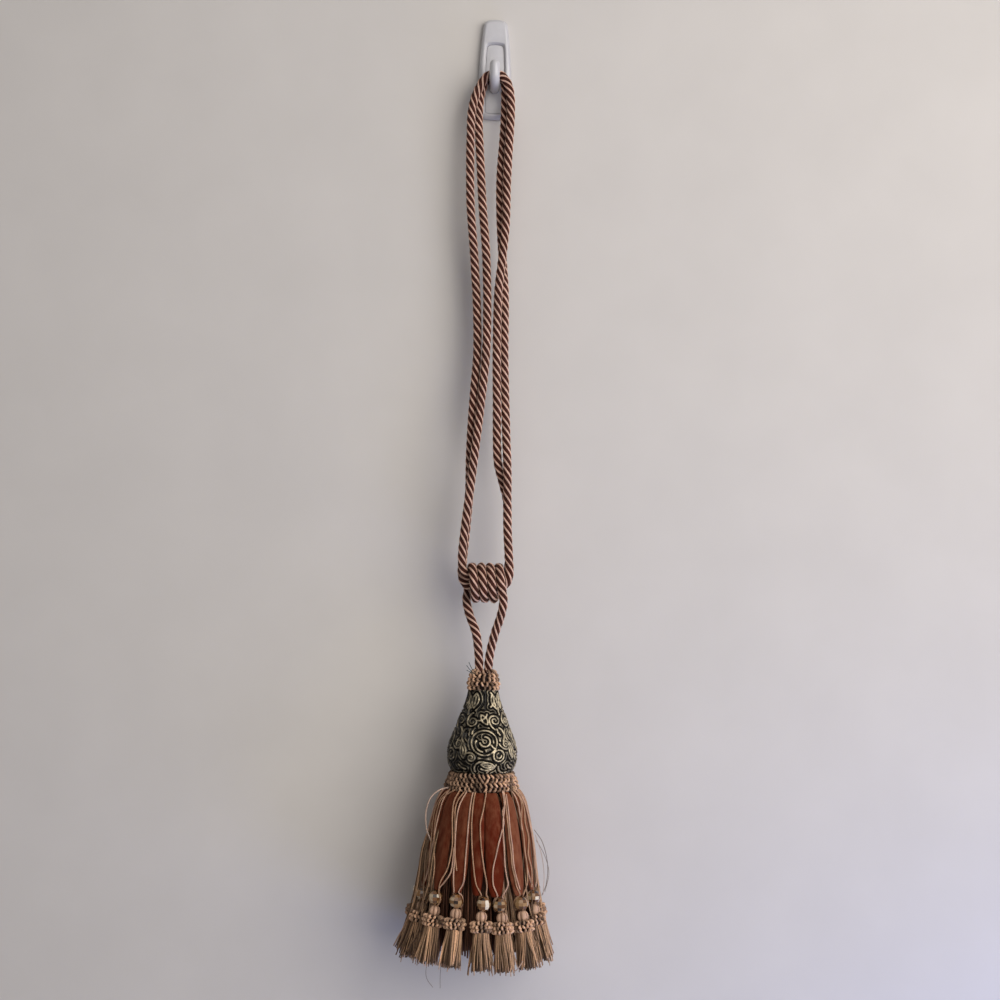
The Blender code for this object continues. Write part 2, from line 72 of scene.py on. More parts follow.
# Loop rope: wound round twice, over the arm and through the knot, its two ends
# meeting in the middle of the knot. Rows are: to the right, forward of the line, height.
LOOP_ROUTE = (
    # Right out of the knot's lower pass, and up in front.
    (0.0002, 0.0, -0.5114),
    (0.0065, 0.0, -0.5114),
    (0.0129, 0.0006, -0.5109),
    (0.0193, 0.0029, -0.5072),
    (0.0226, 0.0049, -0.499),
    (0.0222, 0.005, -0.484),
    (0.0203, 0.0044, -0.455),
    (0.0196, 0.0042, -0.428),
    (0.0194, 0.004, -0.41),
    (0.0189, 0.0027, -0.392),
    (0.0178, 0.001, -0.372),
    (0.0163, -0.0014, -0.34),
    (0.0143, -0.0023, -0.29),
    (0.0135, -0.0035, -0.225),
    (0.011, -0.0046, -0.193),
    (0.008, -0.0038, -0.15),
    (0.0075, -0.0034, -0.11),
    (0.0098, -0.0042, -0.07),
    (0.0106, -0.0042, -0.046),
    (0.0107, -0.0042, -0.03),
    (0.0104, -0.0042, -0.0205),
    (0.009, -0.0042, -0.0154),
    (0.0053, -0.0042, -0.0117),
    (0.0003, -0.0042, -0.0104),
    (-0.0047, -0.0042, -0.0117),
    (-0.0086, -0.0042, -0.0156),
    (-0.0116, -0.0042, -0.0224),
    (-0.0137, -0.0042, -0.032),
    (-0.0149, -0.0042, -0.045),
    (-0.0148, -0.0041, -0.062),
    # Down on the left, coming to the front above the knot.
    (-0.0126, -0.0036, -0.095),
    (-0.0096, -0.0018, -0.14),
    (-0.0054, 0.0006, -0.185),
    (-0.0032, 0.0024, -0.235),
    (-0.0034, 0.0028, -0.285),
    (-0.0072, 0.0024, -0.331),
    (-0.012, 0.0042, -0.378),
    (-0.017, 0.0043, -0.424),
    (-0.0204, 0.0044, -0.455),
    (-0.0224, 0.0048, -0.478),
    (-0.0222, 0.0047, -0.489),
    (-0.0192, 0.0026, -0.4982),
    (-0.0128, 0.0004, -0.5019),
    (-0.005, 0.0, -0.5022),
    # The knot's upper pass, and up behind.
    (0.005, 0.0, -0.5022),
    (0.0126, -0.0008, -0.5017),
    (0.019, -0.0032, -0.4977),
    (0.022, -0.0047, -0.489),
    (0.0218, -0.0048, -0.478),
    (0.0203, -0.0044, -0.455),
    (0.0194, -0.0043, -0.428),
    (0.0149, -0.004, -0.41),
    (0.0101, -0.0028, -0.392),
    (0.0087, -0.0011, -0.372),
    (0.0081, 0.0014, -0.34),
    (0.0069, 0.0023, -0.285),
    (0.0073, 0.0035, -0.228),
    (0.0104, 0.0046, -0.195),
    (0.0132, 0.0037, -0.16),
    (0.0139, 0.0032, -0.115),
    (0.0158, 0.0042, -0.066),
    (0.0164, 0.0042, -0.048),
    (0.0159, 0.0042, -0.034),
    (0.0139, 0.0042, -0.023),
    (0.0102, 0.0042, -0.0156),
    (0.0054, 0.0042, -0.0116),
    (0.0, 0.0042, -0.0103),
    (-0.0054, 0.0042, -0.0118),
    (-0.0102, 0.0042, -0.0164),
    (-0.015, 0.0042, -0.0248),
    (-0.0192, 0.0042, -0.0354),
    (-0.0216, 0.0042, -0.048),
    (-0.0223, 0.004, -0.064),
    # Down on the left, going behind above the knot.
    (-0.0224, 0.0034, -0.095),
    (-0.0212, 0.0018, -0.14),
    (-0.0172, -0.0006, -0.185),
    (-0.0134, -0.0024, -0.235),
    (-0.012, -0.0028, -0.285),
    (-0.0148, -0.002, -0.331),
    (-0.0169, -0.0042, -0.378),
    (-0.0172, -0.0043, -0.424),
    (-0.0194, -0.0044, -0.455),
    (-0.0219, -0.005, -0.484),
    (-0.0226, -0.0049, -0.499),
    (-0.0193, -0.0029, -0.5072),
    (-0.0129, -0.0006, -0.5109),
    (-0.0065, 0.0, -0.5114),
    (-0.0002, 0.0, -0.5114),
)

NECK_LEFT = (  # to the right, forward of the line, height
    (-0.0043, 0.0, -0.6056),
    (-0.0043, 0.0, -0.59),
    (-0.005, -0.0004, -0.574),
    (-0.008, -0.0018, -0.554),
    (-0.0146, -0.0052, -0.537),
    (-0.0178, -0.0096, -0.524),
    (-0.0168, -0.0116, -0.5145),
)
NECK_RIGHT = (
    (0.0166, 0.0108, -0.5145),
    (0.0176, 0.0088, -0.524),
    (0.0154, 0.0056, -0.537),
    (0.01, 0.0022, -0.554),
    (0.0056, 0.0004, -0.574),
    (0.0043, 0.0, -0.59),
    (0.0043, 0.0, -0.6056),
)

# The tassel's own frame, in millimetres.
HEAD_TOP = -0.607
HEAD_PROFILE = (  # radius, height
    (13.8, 0.0),
    (15.4, -8.0),
    (19.6, -20.0),
    (25.0, -34.0),
    (29.8, -46.0),
    (32.3, -55.0),
    (32.5, -63.0),
    (30.8, -71.0),
    (28.4, -76.0),
)
SKIRT_PROFILE = (  # outer radius, height
    (20.0, -90.0),
    (29.4, -95.4),
    (35.4, -104.0),
    (39.4, -118.0),
    (44.0, -150.0),
    (47.6, -176.0),
    (48.6, -195.0),
    (50.0, -236.0),
)
SKIRT_REACH_BACK = 36.5
PETAL_LINE = (  # out from the axis, height, half width
    (32.6, -92.0, 5.8),
    (37.0, -96.6, 6.7),
    (40.6, -103.0, 7.5),
    (44.0, -114.0, 8.3),
    (47.6, -129.0, 8.9),
    (50.6, -146.0, 9.1),
    (53.2, -162.0, 8.7),
    (55.2, -173.0, 7.0),
    (56.2, -180.4, 4.5),
)
# Round from the right-hand side towards the wall: the petal's angle, its share of the full
# width, the bead's angle, the small tassel's angle, and how much lower the unit hangs.
UNITS = (
    (-134.5, 1.0, -134.5, -134.5, -1.0),
    (-111.5, 0.98, -111.0, -111.0, -1.0),
    (-92.5, 0.72, -85.5, -87.5, 0.5),
    (-74.0, 1.02, -70.5, -68.5, 2.0),
    (-49.5, 1.0, -47.0, -46.0, 2.5),
    (-25.5, 1.0, -23.0, -23.0, 0.5),
    (-0.5, 1.0, 1.0, 1.0, -3.0),
    (24.0, 1.0, 26.0, 26.0, 0.0),
    (48.0, 1.0, 48.5, 48.5, 1.0),
    (69.5, 0.9, 69.5, 69.5, -0.5),
    (90.0, 0.9, 90.0, 90.0, 0.0),
    (110.5, 0.9, 110.5, 110.5, 1.0),
    (132.0, 0.98, 131.5, 131.5, -1.0),
    (155.5, 1.0, 154.0, 154.0, 0.5),
    (179.0, 1.0, 179.0, 179.0, 0.0),
    (-157.3, 1.0, -157.0, -157.0, -0.5),
)
BEAD_HEIGHT = -187.4
BEAD_OUT = 56.5
BEAD_RADIUS = 6.5
REACH_BACK = 48.0
RIGHT_SET_IN = 6.0  # the beads at the right-hand side hang this much closer to the axis
SMALL_TASSEL_BELOW_BEAD = 7.0
SMALL_TASSEL_OUT = 56.6
SMALL_TASSEL_LEAN = math.radians(11.0)


def linear(code):
    """The linear colour of an sRGB hex code."""
    shares = [int(code[place : place + 2], 16) / 255 for place in (1, 3, 5)]
    return tuple(c / 12.92 if c <= 0.04045 else ((c + 0.055) / 1.055) ** 2.4 for c in shares)


def a_length(name, description, default):
    return bpy.props.FloatProperty(
        name=name, description=description, default=default, min=0.0, precision=5, unit="LENGTH"
    )


def a_colour(name, description, code):
    return bpy.props.FloatVectorProperty(
        name=name, description=description, default=linear(code), size=3, subtype="COLOR"
    )


class TIEBACK_PG_rope(bpy.types.PropertyGroup):
    diameter: a_length("Diameter", "Mean width of the rope, between its ridges and grooves", 0.008)
    lead: a_length("Lead", "Length of one full turn of the plies", 0.0325)
    # Ridge, flank and groove are painted down each ply: the ridge is a painted highlight on the
    # crests, the flank is painted shade down the plies' sides, and the groove is the sunk maroon
    # plies, painted darker still as shade where they meet.
    ridge: a_colour("Ridges", "Rose-beige plies that stand proud", "#dfbaa8")
    flank: a_colour("Flanks", "Brown satin plies beside them", "#7c3c28")
    groove: a_colour("Grooves", "Dark maroon where the plies meet", "#380e06")


class TIEBACK_PG_head(bpy.types.PropertyGroup):
    scroll_width: a_length("Scroll width", "Across one moulded scroll", 0.0026)
    scroll_height: a_length("Scroll height", "How far the scrolls stand proud", 0.0021)
    echo: a_length("Echo", "From a scroll to the lower ridge that follows it", 0.0031)
    ground: a_colour("Ground", "Black lacquer between the scrolls", "#0c0805")
    rubbed: a_colour("Rubbed", "Pewter rubbed on the scrolls", "#c4b69a")


class TIEBACK_PG_skirt(bpy.types.PropertyGroup):
    yarn_radius: a_length("Yarn radius", "Half the thickness of a fringe yarn", 0.00062)
    cord_diameter: a_length("Cord diameter", "Across the twisted cord by each petal", 0.0015)
    # The petals run from the velvet colour to the paler one in streaks, and towards the paler one
    # where painted sheen lies, so the paler colour is partly a painted sheen.
    velvet: a_colour("Velvet", "Rust velvet of the petals, nap down", "#561d0c")
    pale_streak_and_sheen: a_colour("Brushed velvet", "The same velvet, nap up", "#7b4a34")
    knots: a_colour("Knots", "Rose-beige looped yarn", "#d2aa8c")
    fringe: a_colour("Fringe", "Tan yarn of the fringes", "#b49072")


class TIEBACK_PG_stage(bpy.types.PropertyGroup):
    lens: bpy.props.FloatProperty(
        name="Lens", description="Focal length of the view", default=50.4, unit="CAMERA"
    )
    distance: a_length("Distance", "From the wall to the camera", 1.38)
    wall: a_colour("Wall", "Pale painted wall", "#d3cfcd")


class TIEBACK_PG_settings(bpy.types.PropertyGroup):
    rope: bpy.props.PointerProperty(type=TIEBACK_PG_rope)
    head: bpy.props.PointerProperty(type=TIEBACK_PG_head)
    skirt: bpy.props.PointerProperty(type=TIEBACK_PG_skirt)
    stage: bpy.props.PointerProperty(type=TIEBACK_PG_stage)


# Places and curves.


def on_line(right, forward, height):
    """A place beside the line that everything hangs on."""
    off_wall = HANG_OFF_WALL + math.tan(HANG_LEAN) * (HANG_TOP - height)
    return Vector((right, -(off_wall + forward), height))


TASSEL = Matrix.Translation(on_line(0.0, 0.0, HEAD_TOP)) @ Matrix.Rotation(-HANG_LEAN, 4, "X")


def placed(points, matrix):
    """Rows of points in millimetres in a piece's own frame, as points of the model."""
    turn = np.array(matrix.to_3x3())
    return np.asarray(points, float) * MM @ turn.T + np.array(matrix.translation)


def pressed(angle, radius, reach):
    """A place round the axis. Behind it the ring is pressed flat, no further back than its reach."""
    x = radius * math.cos(angle)
    y = radius * math.sin(angle)
    if y > 0.0:
        y *= min(1.0, reach / radius)
    return x, y


def set_in(angle):
    """How much closer to the axis than the others a bead hangs."""
    return RIGHT_SET_IN * max(0.0, math.cos(angle)) ** 12


def smooth_curve(route, steps=10):
    """Points on a smooth curve through the route's own points."""
    route = [Vector(point) for point in route]
    ends = [route[0] * 2 - route[1], *route, route[-1] * 2 - route[-2]]
    points = []
    for before, here, after, beyond in zip(ends, ends[1:], ends[2:], ends[3:]):
        span = (after - here).length
        leave = (after - before) * span / ((here - before).length + span)
        arrive = (beyond - here) * span / ((beyond - after).length + span)
        for step in range(steps):
            t = step / steps
            points.append(
                here * (2 * t**3 - 3 * t**2 + 1)
                + leave * (t**3 - 2 * t**2 + t)
                + after * (3 * t**2 - 2 * t**3)
                + arrive * (t**3 - t**2)
            )
    points.append(route[-1])
    return np.array(points)


def evenly(points, step):
    """The same curve with its points an even step apart, and its length."""
    points = np.asarray(points, float)
    gaps = np.linalg.norm(np.diff(points, axis=0), axis=1)
    along = np.concatenate(([0.0], np.cumsum(gaps)))
    even = np.linspace(0.0, along[-1], max(2, round(along[-1] / step)) + 1)
    rows = [np.interp(even, along, points[:, axis]) for axis in range(points.shape[1])]
    return np.column_stack(rows), float(along[-1])


Unit = namedtuple("Unit", "number petal share bead tassel drop")


def units():
    """Every petal with its bead and small tassel: UNITS with numbers, its angles in radians."""
    for number, (petal, share, bead, tassel, drop) in enumerate(UNITS, start=1):
        petal, bead, tassel = (math.radians(angle) for angle in (petal, bead, tassel))
        yield Unit(number, petal, share, bead, tassel, drop)


# Meshes.


def on_stage(name, data):
    """An object for some data, in the scene."""
    made = bpy.data.objects.new(name, data)
    bpy.context.scene.collection.objects.link(made)
    return made


def as_piece(name, data, finish=None, node=None):
    """A finished piece, riding on the one body. It may stand for a node of the frame."""
    made = on_stage(name, data)
    if finish:
        data.materials.append(finish)
    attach(made, "root")
    if node:
        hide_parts(node)
    return made


def mesh_of(name, mesh):
    """The data of a finished bmesh."""
    data = bpy.data.meshes.new(name)
    mesh.to_mesh(data)
    mesh.free()
    return data


def smoothed(data, angle=40.0):
    """The same data shaded smooth, but for its edges of more than that many degrees."""
    data.shade_smooth()
    data.set_sharp_from_angle(angle=math.radians(angle))
    return data


def baked(helper, name):
    """The mesh that a helper object makes. The helper goes."""
    bpy.context.view_layer.update()
    data = bpy.data.meshes.new_from_object(
        helper.evaluated_get(bpy.context.evaluated_depsgraph_get())
    )
    data.name = name
    old = helper.data
    bpy.data.objects.remove(helper)
    store = bpy.data.curves if isinstance(old, bpy.types.Curve) else bpy.data.meshes
    store.remove(old)
    return data


def closed_up(data):
    """Merges the caps of swept tubes with their walls and turns every face outwards."""
    mesh = bmesh.new()
    mesh.from_mesh(data)
    bmesh.ops.remove_doubles(mesh, verts=mesh.verts, dist=1e-7)
    bmesh.ops.recalc_face_normals(mesh, faces=mesh.faces)
    mesh.to_mesh(data)
    mesh.free()
    data.shade_smooth()
    return data


def spun(profile, steps):
    """A bmesh in millimetres, turned round the axis from rows of radius and height."""
    mesh = bmesh.new()
    verts = [mesh.verts.new((radius, 0.0, height)) for radius, height in profile]
    edges = [mesh.edges.new(pair) for pair in zip(verts, verts[1:])]
    bmesh.ops.spin(
        mesh,
        geom=verts + edges,
        axis=(0.0, 0.0, 1.0),
        cent=(0.0, 0.0, 0.0),
        angle=math.tau,
        steps=steps,
        use_merge=True,
    )
    bmesh.ops.remove_doubles(mesh, verts=mesh.verts, dist=1e-4)
    bmesh.ops.recalc_face_normals(mesh, faces=mesh.faces)
    return mesh


def skinned(mesh, rings):
    """Closes a solid over rings of vertices, from the first ring to the last."""
    for ring, beyond in zip(rings, rings[1:]):
        for step, corner in enumerate(ring):
            after = (step + 1) % len(ring)
            mesh.faces.new((corner, ring[after], beyond[after], beyond[step]))
    mesh.faces.new(rings[0])
    mesh.faces.new(rings[-1][::-1])
    bmesh.ops.recalc_face_normals(mesh, faces=mesh.faces)


def new_curve(name):
    """A curve to sweep a section along, closed at its ends."""
    curve = bpy.data.curves.new(name, "CURVE")
    curve.dimensions = "3D"
    curve.use_fill_caps = True
    return curve


def add_line(curve, points):
    """Adds a line through points, straight from each to the next, to a curve."""
    line = curve.splines.new("POLY")
    line.points.add(len(points) - 1)
    line.points.foreach_set("co", np.column_stack((points, np.ones(len(points)))).ravel())
    return line


def yarns(name, groups, sides=4, node=None):
    """A piece of many yarns, each a thin closed tube: groups of routes, millimetres, finish."""
    curve = new_curve(name)
    curve.bevel_depth = MM
    curve.bevel_resolution = (sides - 4) // 2
    for number, (routes, radius, finish) in enumerate(groups):
        curve.materials.append(finish)
        for route in routes:
            line = add_line(curve, route)
            line.material_index = number
            line.points.foreach_set("radius", np.full(len(route), radius))
    return as_piece(name, closed_up(baked(on_stage(name, curve), name)), node=node)


def laid_section(diameter, plies, columns, ply, sunk_ply=0.0, sunk_reach=0.0):
    """The outline of a laid cord: rows of x, y and how sunk. A ply's radius is a share of the
    cord's. With a reach for them, every second ply is sunk."""
    outer = diameter / 2
    circles = []
    for number in range(plies):
        is_sunk = sunk_reach and number % 2 == 1
        radius = outer * (sunk_ply if is_sunk else ply)
        centre = outer * (sunk_reach if is_sunk else 1.0) - radius
        circles.append((math.tau * number / plies, centre, radius, 0.5 if is_sunk else 0.0))
    rows = []
    for column in range(columns):
        angle = -math.tau * column / columns
        best = (0.3 * outer, 1.0)
        for place, centre, radius, crest in circles:
            aside = centre * math.sin(angle - place)
            if abs(aside) < radius and math.cos(angle - place) > 0.0:
                reach = centre * math.cos(angle - place) + math.sqrt(radius**2 - aside**2)
                best = max(best, (reach, crest + (1.0 - crest) * (aside / radius) ** 2))
        rows.append((best[0] * math.cos(angle), best[0] * math.sin(angle), best[1]))
    return rows


def laid_cord(name, route, section, lead):
    """A twisted cord swept along a route of even steps. Its sunk attribute is 1 in the grooves, and
    the finishes paint highlight and shade by it.
    """
    outline = bpy.data.curves.new(name + "_section", "CURVE")
    outline.dimensions = "2D"
    add_line(outline, [(x, y, 0.0) for x, y, _ in section]).use_cyclic_u = True
    outline_helper = on_stage(name + "_section", outline)
    curve = new_curve(name)
    curve.twist_mode = "MINIMUM"
    curve.bevel_mode = "OBJECT"
    curve.bevel_object = outline_helper
    # A tilt may be 60 turns at most, so whole turns are left out.
    turns = np.arange(len(route)) * np.linalg.norm(route[1] - route[0]) / lead
    add_line(curve, route).points.foreach_set("tilt", -math.tau * (turns % 1.0))
    data = baked(on_stage(name, curve), name)
    bpy.data.objects.remove(outline_helper)
    bpy.data.curves.remove(outline)
    sunk = np.zeros(len(data.vertices))
    pattern = np.tile([row[2] for row in section], len(route))
    sunk[: len(pattern)] = pattern[: len(sunk)]
    data.attributes.new("sunk", "FLOAT", "POINT").data.foreach_set("value", sunk)
    return closed_up(data)


# Finishes.

SILK = {"Specular IOR Level": 0.3, "Sheen Tint": (*linear("#f0c8b0"), 1.0)}
GRAIN = {"From Min": 0.3, "From Max": 0.7}  # most of what a noise gives is between these
# A Mix node's colours are its inputs 6 and 7, and its output 2.
MULTIPLY = {"data_type": "RGBA", "blend_type": "MULTIPLY"}
WAVE = math.tau / 10.0  # the scale that gives a wave texture one band in each unit


def darker(colour, share):
    return tuple(part * share for part in colour)


def shades(colour, *shares):
    return [darker(colour, share) for share in shares]


def tones_of(*codes):
    return [linear(code) for code in codes]


def per(millimetres):
    """A pattern's scale, from the size of its grains."""
    return 1.0 / (millimetres * MM)


def set_inputs(tree, node, inputs):
    """Gives a node its inputs, each a value or another node's output to link."""
    for key, value in inputs.items():
        if isinstance(value, bpy.types.NodeSocket):
            tree.links.new(value, node.inputs[key])
        else:
            node.inputs[key].default_value = value


def add_node(tree, kind, output, inputs=None, stops=(), **settings):
    """Adds a node with its settings, colour stops and inputs. What comes back is one output."""
    node = tree.nodes.new("ShaderNode" + kind)
    for key, value in settings.items():
        setattr(node, key, value)
    if stops:
        ramp = node.color_ramp.elements
        while len(ramp) < len(stops):
            ramp.new(1.0)
        for element, (place, colour) in zip(ramp, stops):
            element.position = place
            element.color = (*colour, 1.0)
    set_inputs(tree, node, inputs or {})
    return node.outputs[output]


def new_finish(name, inputs):
    """A material, its node tree and its Principled shader, which has those inputs."""
    made = bpy.data.materials.new(name)
    made.use_nodes = True
    shader = made.node_tree.nodes["Principled BSDF"]
    set_inputs(made.node_tree, shader, inputs)
    return made, made.node_tree, shader


def yarn_finish(name, tones):
    """Twisted viscose or cotton yarn: a soft lustre, each yarn of its own tone, fine fuzz."""
    look = {**SILK, "Roughness": 0.78, "Sheen Weight": 0.12, "Sheen Roughness": 0.5}
    made, tree, shader = new_finish(name, look)
    island = add_node(tree, "NewGeometry", "Random Per Island")
    stops = [(index / (len(tones) - 1), tone) for index, tone in enumerate(tones)]
    tone = add_node(tree, "ValToRGB", "Color", {"Fac": island}, stops)
    # The twist is some 0.5 mm a turn, drawn at 0.7 mm across and 1.9 mm down so that it shows.
    where = add_node(tree, "TexCoord", "Object")
    scale = (per(0.72), per(0.72), per(1.92))
    stretched = add_node(tree, "Mapping", "Vector", {"Vector": where, "Scale": scale})
    fuzz = add_node(tree, "TexNoise", "Fac", {"Vector": stretched, "Scale": 1.0, "Detail": 3.0})
    share = {"Value": fuzz, **GRAIN, "To Min": 0.72, "To Max": 1.18}
    shade = add_node(tree, "MapRange", "Result", share)
    colour = add_node(tree, "Mix", 2, {0: 1.0, 6: tone, 7: shade}, **MULTIPLY)
    relief = {"Height": fuzz, "Strength": 0.5, "Distance": 0.3 * MM}
    bump = add_node(tree, "Bump", "Normal", relief)
    set_inputs(tree, shader, {"Base Color": colour, "Normal": bump})
    return made


def rope_finish(name, rope, turns):
    """Laid rope of viscose yarn: proud rose-beige plies with a silky lustre, sunk maroon ones. Its
    colour is painted paler on each ply's crest, a painted highlight, and darker down the plies' sides
    and into the grooves, painted shade.
    """
    made, tree, shader = new_finish(name, {**SILK, "Roughness": 0.66, "Sheen Weight": 0.08})
    sunk = add_node(tree, "Attribute", "Fac", attribute_name="sunk")
    # The ridge colour on the crests is a painted highlight; the flank colours and the groove colour
    # darkened to 0.3 are painted shade down the plies' sides and in the grooves, over the sunk plies'
    # own maroon.
    stops = [
        (0.17, tuple(rope.ridge)),
        (0.37, tuple(rope.flank)),
        (0.47, darker(rope.flank, 0.45)),
        (0.55, tuple(rope.groove)),
        (1.0, darker(rope.groove, 0.3)),
    ]
    tone = add_node(tree, "ValToRGB", "Color", {"Fac": sunk}, stops)
    where = add_node(tree, "TexCoord", "Object")
    wear = add_node(tree, "TexNoise", "Fac", {"Vector": where, "Scale": per(9.0), "Detail": 3.0})
    share = {"Value": wear, **GRAIN, "To Min": 0.8, "To Max": 1.15}
    shade = add_node(tree, "MapRange", "Result", share)
    colour = add_node(tree, "Mix", 2, {0: 1.0, 6: tone, 7: shade}, **MULTIPLY)
    # Yarns 0.4 mm thick run along each ply: 62 round the rope, askew by 10 in a turn of the plies.
    round_rope = add_node(tree, "TexCoord", "UV")
    scale = (62.0 * WAVE, 10.0 * turns * WAVE, 0.0)
    laid = add_node(tree, "Mapping", "Vector", {"Vector": round_rope, "Scale": scale})
    bands = {"Vector": laid, "Scale": 1.0, "Distortion": 0.6}
    threads = add_node(tree, "TexWave", "Fac", bands, bands_direction="DIAGONAL")
    relief = {"Height": threads, "Strength": 0.6, "Distance": 0.2 * MM}
    bump = add_node(tree, "Bump", "Normal", relief)
    set_inputs(tree, shader, {"Base Color": colour, "Normal": bump})
    return made


def gimp_finish(name, crest, flank):
    """Three-ply gimp cord of viscose yarn: silky, painted paler on each ply's crest, a painted
    highlight, and darker down its sides to where its plies meet, painted shade.
    """
    made, tree, shader = new_finish(name, {**SILK, "Roughness": 0.6, "Sheen Weight": 0.15})
    sunk = add_node(tree, "Attribute", "Fac", attribute_name="sunk")
    stops = [(0.2, linear(crest)), (0.7, linear(flank)), (1.0, linear("#4a2c20"))]
    tone = add_node(tree, "ValToRGB", "Color", {"Fac": sunk}, stops)
    where = add_node(tree, "TexCoord", "Object")
    wear = add_node(tree, "TexNoise", "Fac", {"Vector": where, "Scale": per(7.0), "Detail": 3.0})
    share = {"Value": wear, **GRAIN, "To Min": 0.74, "To Max": 1.2}
    shade = add_node(tree, "MapRange", "Result", share)
    colour = add_node(tree, "Mix", 2, {0: 1.0, 6: tone, 7: shade}, **MULTIPLY)
    set_inputs(tree, shader, {"Base Color": colour})
    return made


def moulded_plastic():
    """White ABS, injection moulded: an even soft gloss with the faintest ripple and dust."""
    look = {"Roughness": 0.36, "IOR": 1.53, "Coat Weight": 0.8, "Coat Roughness": 0.22}
    made, tree, shader = new_finish("white_moulded_abs", look)
    where = add_node(tree, "TexCoord", "Object")
    dust = add_node(tree, "TexNoise", "Fac", {"Vector": where, "Scale": per(6.0), "Detail": 3.0})
    stops = [(0.35, linear("#bfbec4")), (0.75, linear("#c4c3c9"))]
    tone = add_node(tree, "ValToRGB", "Color", {"Fac": dust}, stops)
    ripple = add_node(tree, "TexNoise", "Fac", {"Vector": where, "Scale": per(2.5), "Detail": 3.0})
    relief = {"Height": ripple, "Strength": 0.06, "Distance": 0.2 * MM}
    bump = add_node(tree, "Bump", "Normal", relief)
    set_inputs(tree, shader, {"Base Color": tone, "Normal": bump})
    return made


def antique_lacquer(head):
    """Cast resin, lacquered black, with pewter wax rubbed on the high scrolls."""
    made, tree, shader = new_finish("antique_lacquer", {"Specular IOR Level": 0.3})
    # Besides the scrolls' height, the relief attribute holds painted light and shade: it is lower on
    # the side away from the window.
    raised = add_node(tree, "Attribute", "Fac", attribute_name="relief")
    where = add_node(tree, "TexCoord", "Object")
    patch = add_node(tree, "TexNoise", "Fac", {"Vector": where, "Scale": per(5.0), "Detail": 3.0})
    worn = add_node(tree, "Math", 0, {0: patch, 1: 0.5}, operation="SUBTRACT")
    high = add_node(tree, "Math", 0, {0: raised, 1: worn}, operation="ADD")
    ground, rubbed = tuple(head.ground), tuple(head.rubbed)
    stops = [(0.0, ground), (0.56, ground), (0.78, darker(rubbed, 0.25)), (0.97, rubbed)]
    tone = add_node(tree, "ValToRGB", "Color", {"Fac": high}, stops)
    share = {"Value": high, "From Min": 0.55, "From Max": 1.0, "To Min": 0.0, "To Max": 0.55}
    metal = add_node(tree, "MapRange", "Result", share)
    grain = add_node(tree, "TexNoise", "Fac", {"Vector": where, "Scale": per(0.7), "Detail": 3.0})
    share = {"Value": grain, **GRAIN, "To Min": 0.28, "To Max": 0.5}
    gloss = add_node(tree, "MapRange", "Result", share)
    relief = {"Height": grain, "Strength": 0.35, "Distance": 0.2 * MM}
    bump = add_node(tree, "Bump", "Normal", relief)
    wax = {"Base Color": tone, "Metallic": metal, "Roughness": gloss, "Normal": bump}
    set_inputs(tree, shader, wax)
    return made


def velvet_finish(velvet, pale_streak_and_sheen):
    """Cut-pile cotton velvet: matt, paler and darker in streaks, and painted paler where its
    painted_sheen attribute is high: a painted sheen on the petals towards the window, falling off
    towards the foot as painted shade.
    """
    look = {"Roughness": 0.92, "Specular IOR Level": 0.1, "Sheen Weight": 0.14}
    look |= {"Sheen Roughness": 0.4, "Sheen Tint": (*linear("#e0a47c"), 1.0)}
    made, tree, shader = new_finish("rust_velvet", look)
    painted_sheen = add_node(tree, "Attribute", "Fac", attribute_name="painted_sheen")
    where = add_node(tree, "TexCoord", "Object")
    scale = (per(4.0), per(4.0), per(10.0))
    down = add_node(tree, "Mapping", "Vector", {"Vector": where, "Scale": scale})
    streak = add_node(tree, "TexNoise", "Fac", {"Vector": down, "Scale": 1.0, "Detail": 3.0})
    aside = add_node(tree, "Math", 0, {0: streak, 1: 0.5}, operation="SUBTRACT")
    # The painted_sheen attribute lifts the colour towards the paler one: painted sheen, and painted
    # shade where it is low.
    lay = add_node(tree, "Math", 0, {0: aside, 1: 1.6, 2: painted_sheen}, operation="MULTIPLY_ADD")
    stops = [(0.0, tuple(velvet)), (1.0, tuple(pale_streak_and_sheen))]
    tone = add_node(tree, "ValToRGB", "Color", {"Fac": lay}, stops)
    # Pile tufts are about 0.3 mm, drawn at 0.6 mm so that they show.
    pile = add_node(tree, "TexNoise", "Fac", {"Vector": where, "Scale": per(0.6), "Detail": 3.0})
    share = {"Value": pile, **GRAIN, "To Min": 0.86, "To Max": 1.12}
    shade = add_node(tree, "MapRange", "Result", share)
    colour = add_node(tree, "Mix", 2, {0: 1.0, 6: tone, 7: shade}, **MULTIPLY)
    relief = {"Height": pile, "Strength": 0.6, "Distance": 0.3 * MM}
    bump = add_node(tree, "Bump", "Normal", relief)
    set_inputs(tree, shader, {"Base Color": colour, "Normal": bump})
    return made


def cut_glass():
    """Champagne glass, pressed and cut: every facet is painted its own tone, as painted reflections of
    what lies behind and round it, with painted glints on the facets towards the window.
    """
    look = {"Roughness": 0.04, "IOR": 1.52, "Transmission Weight": 0.25}
    look |= {"Coat Weight": 0.75, "Coat Roughness": 0.02, "Coat IOR": 1.55}
    made, tree, shader = new_finish("champagne_cut_glass", look)
    facet = add_node(tree, "Attribute", "Fac", attribute_name="facet")
    # The near-white tone is a painted glint, and the other tones are painted reflections.
    stops = list(zip((0.0, 0.4, 0.75, 1.0), tones_of("#2c1608", "#8a5c36", "#ceaa7c", "#fff2dc")))
    tone = add_node(tree, "ValToRGB", "Color", {"Fac": facet}, stops)
    set_inputs(tree, shader, {"Base Color": tone})
    return made


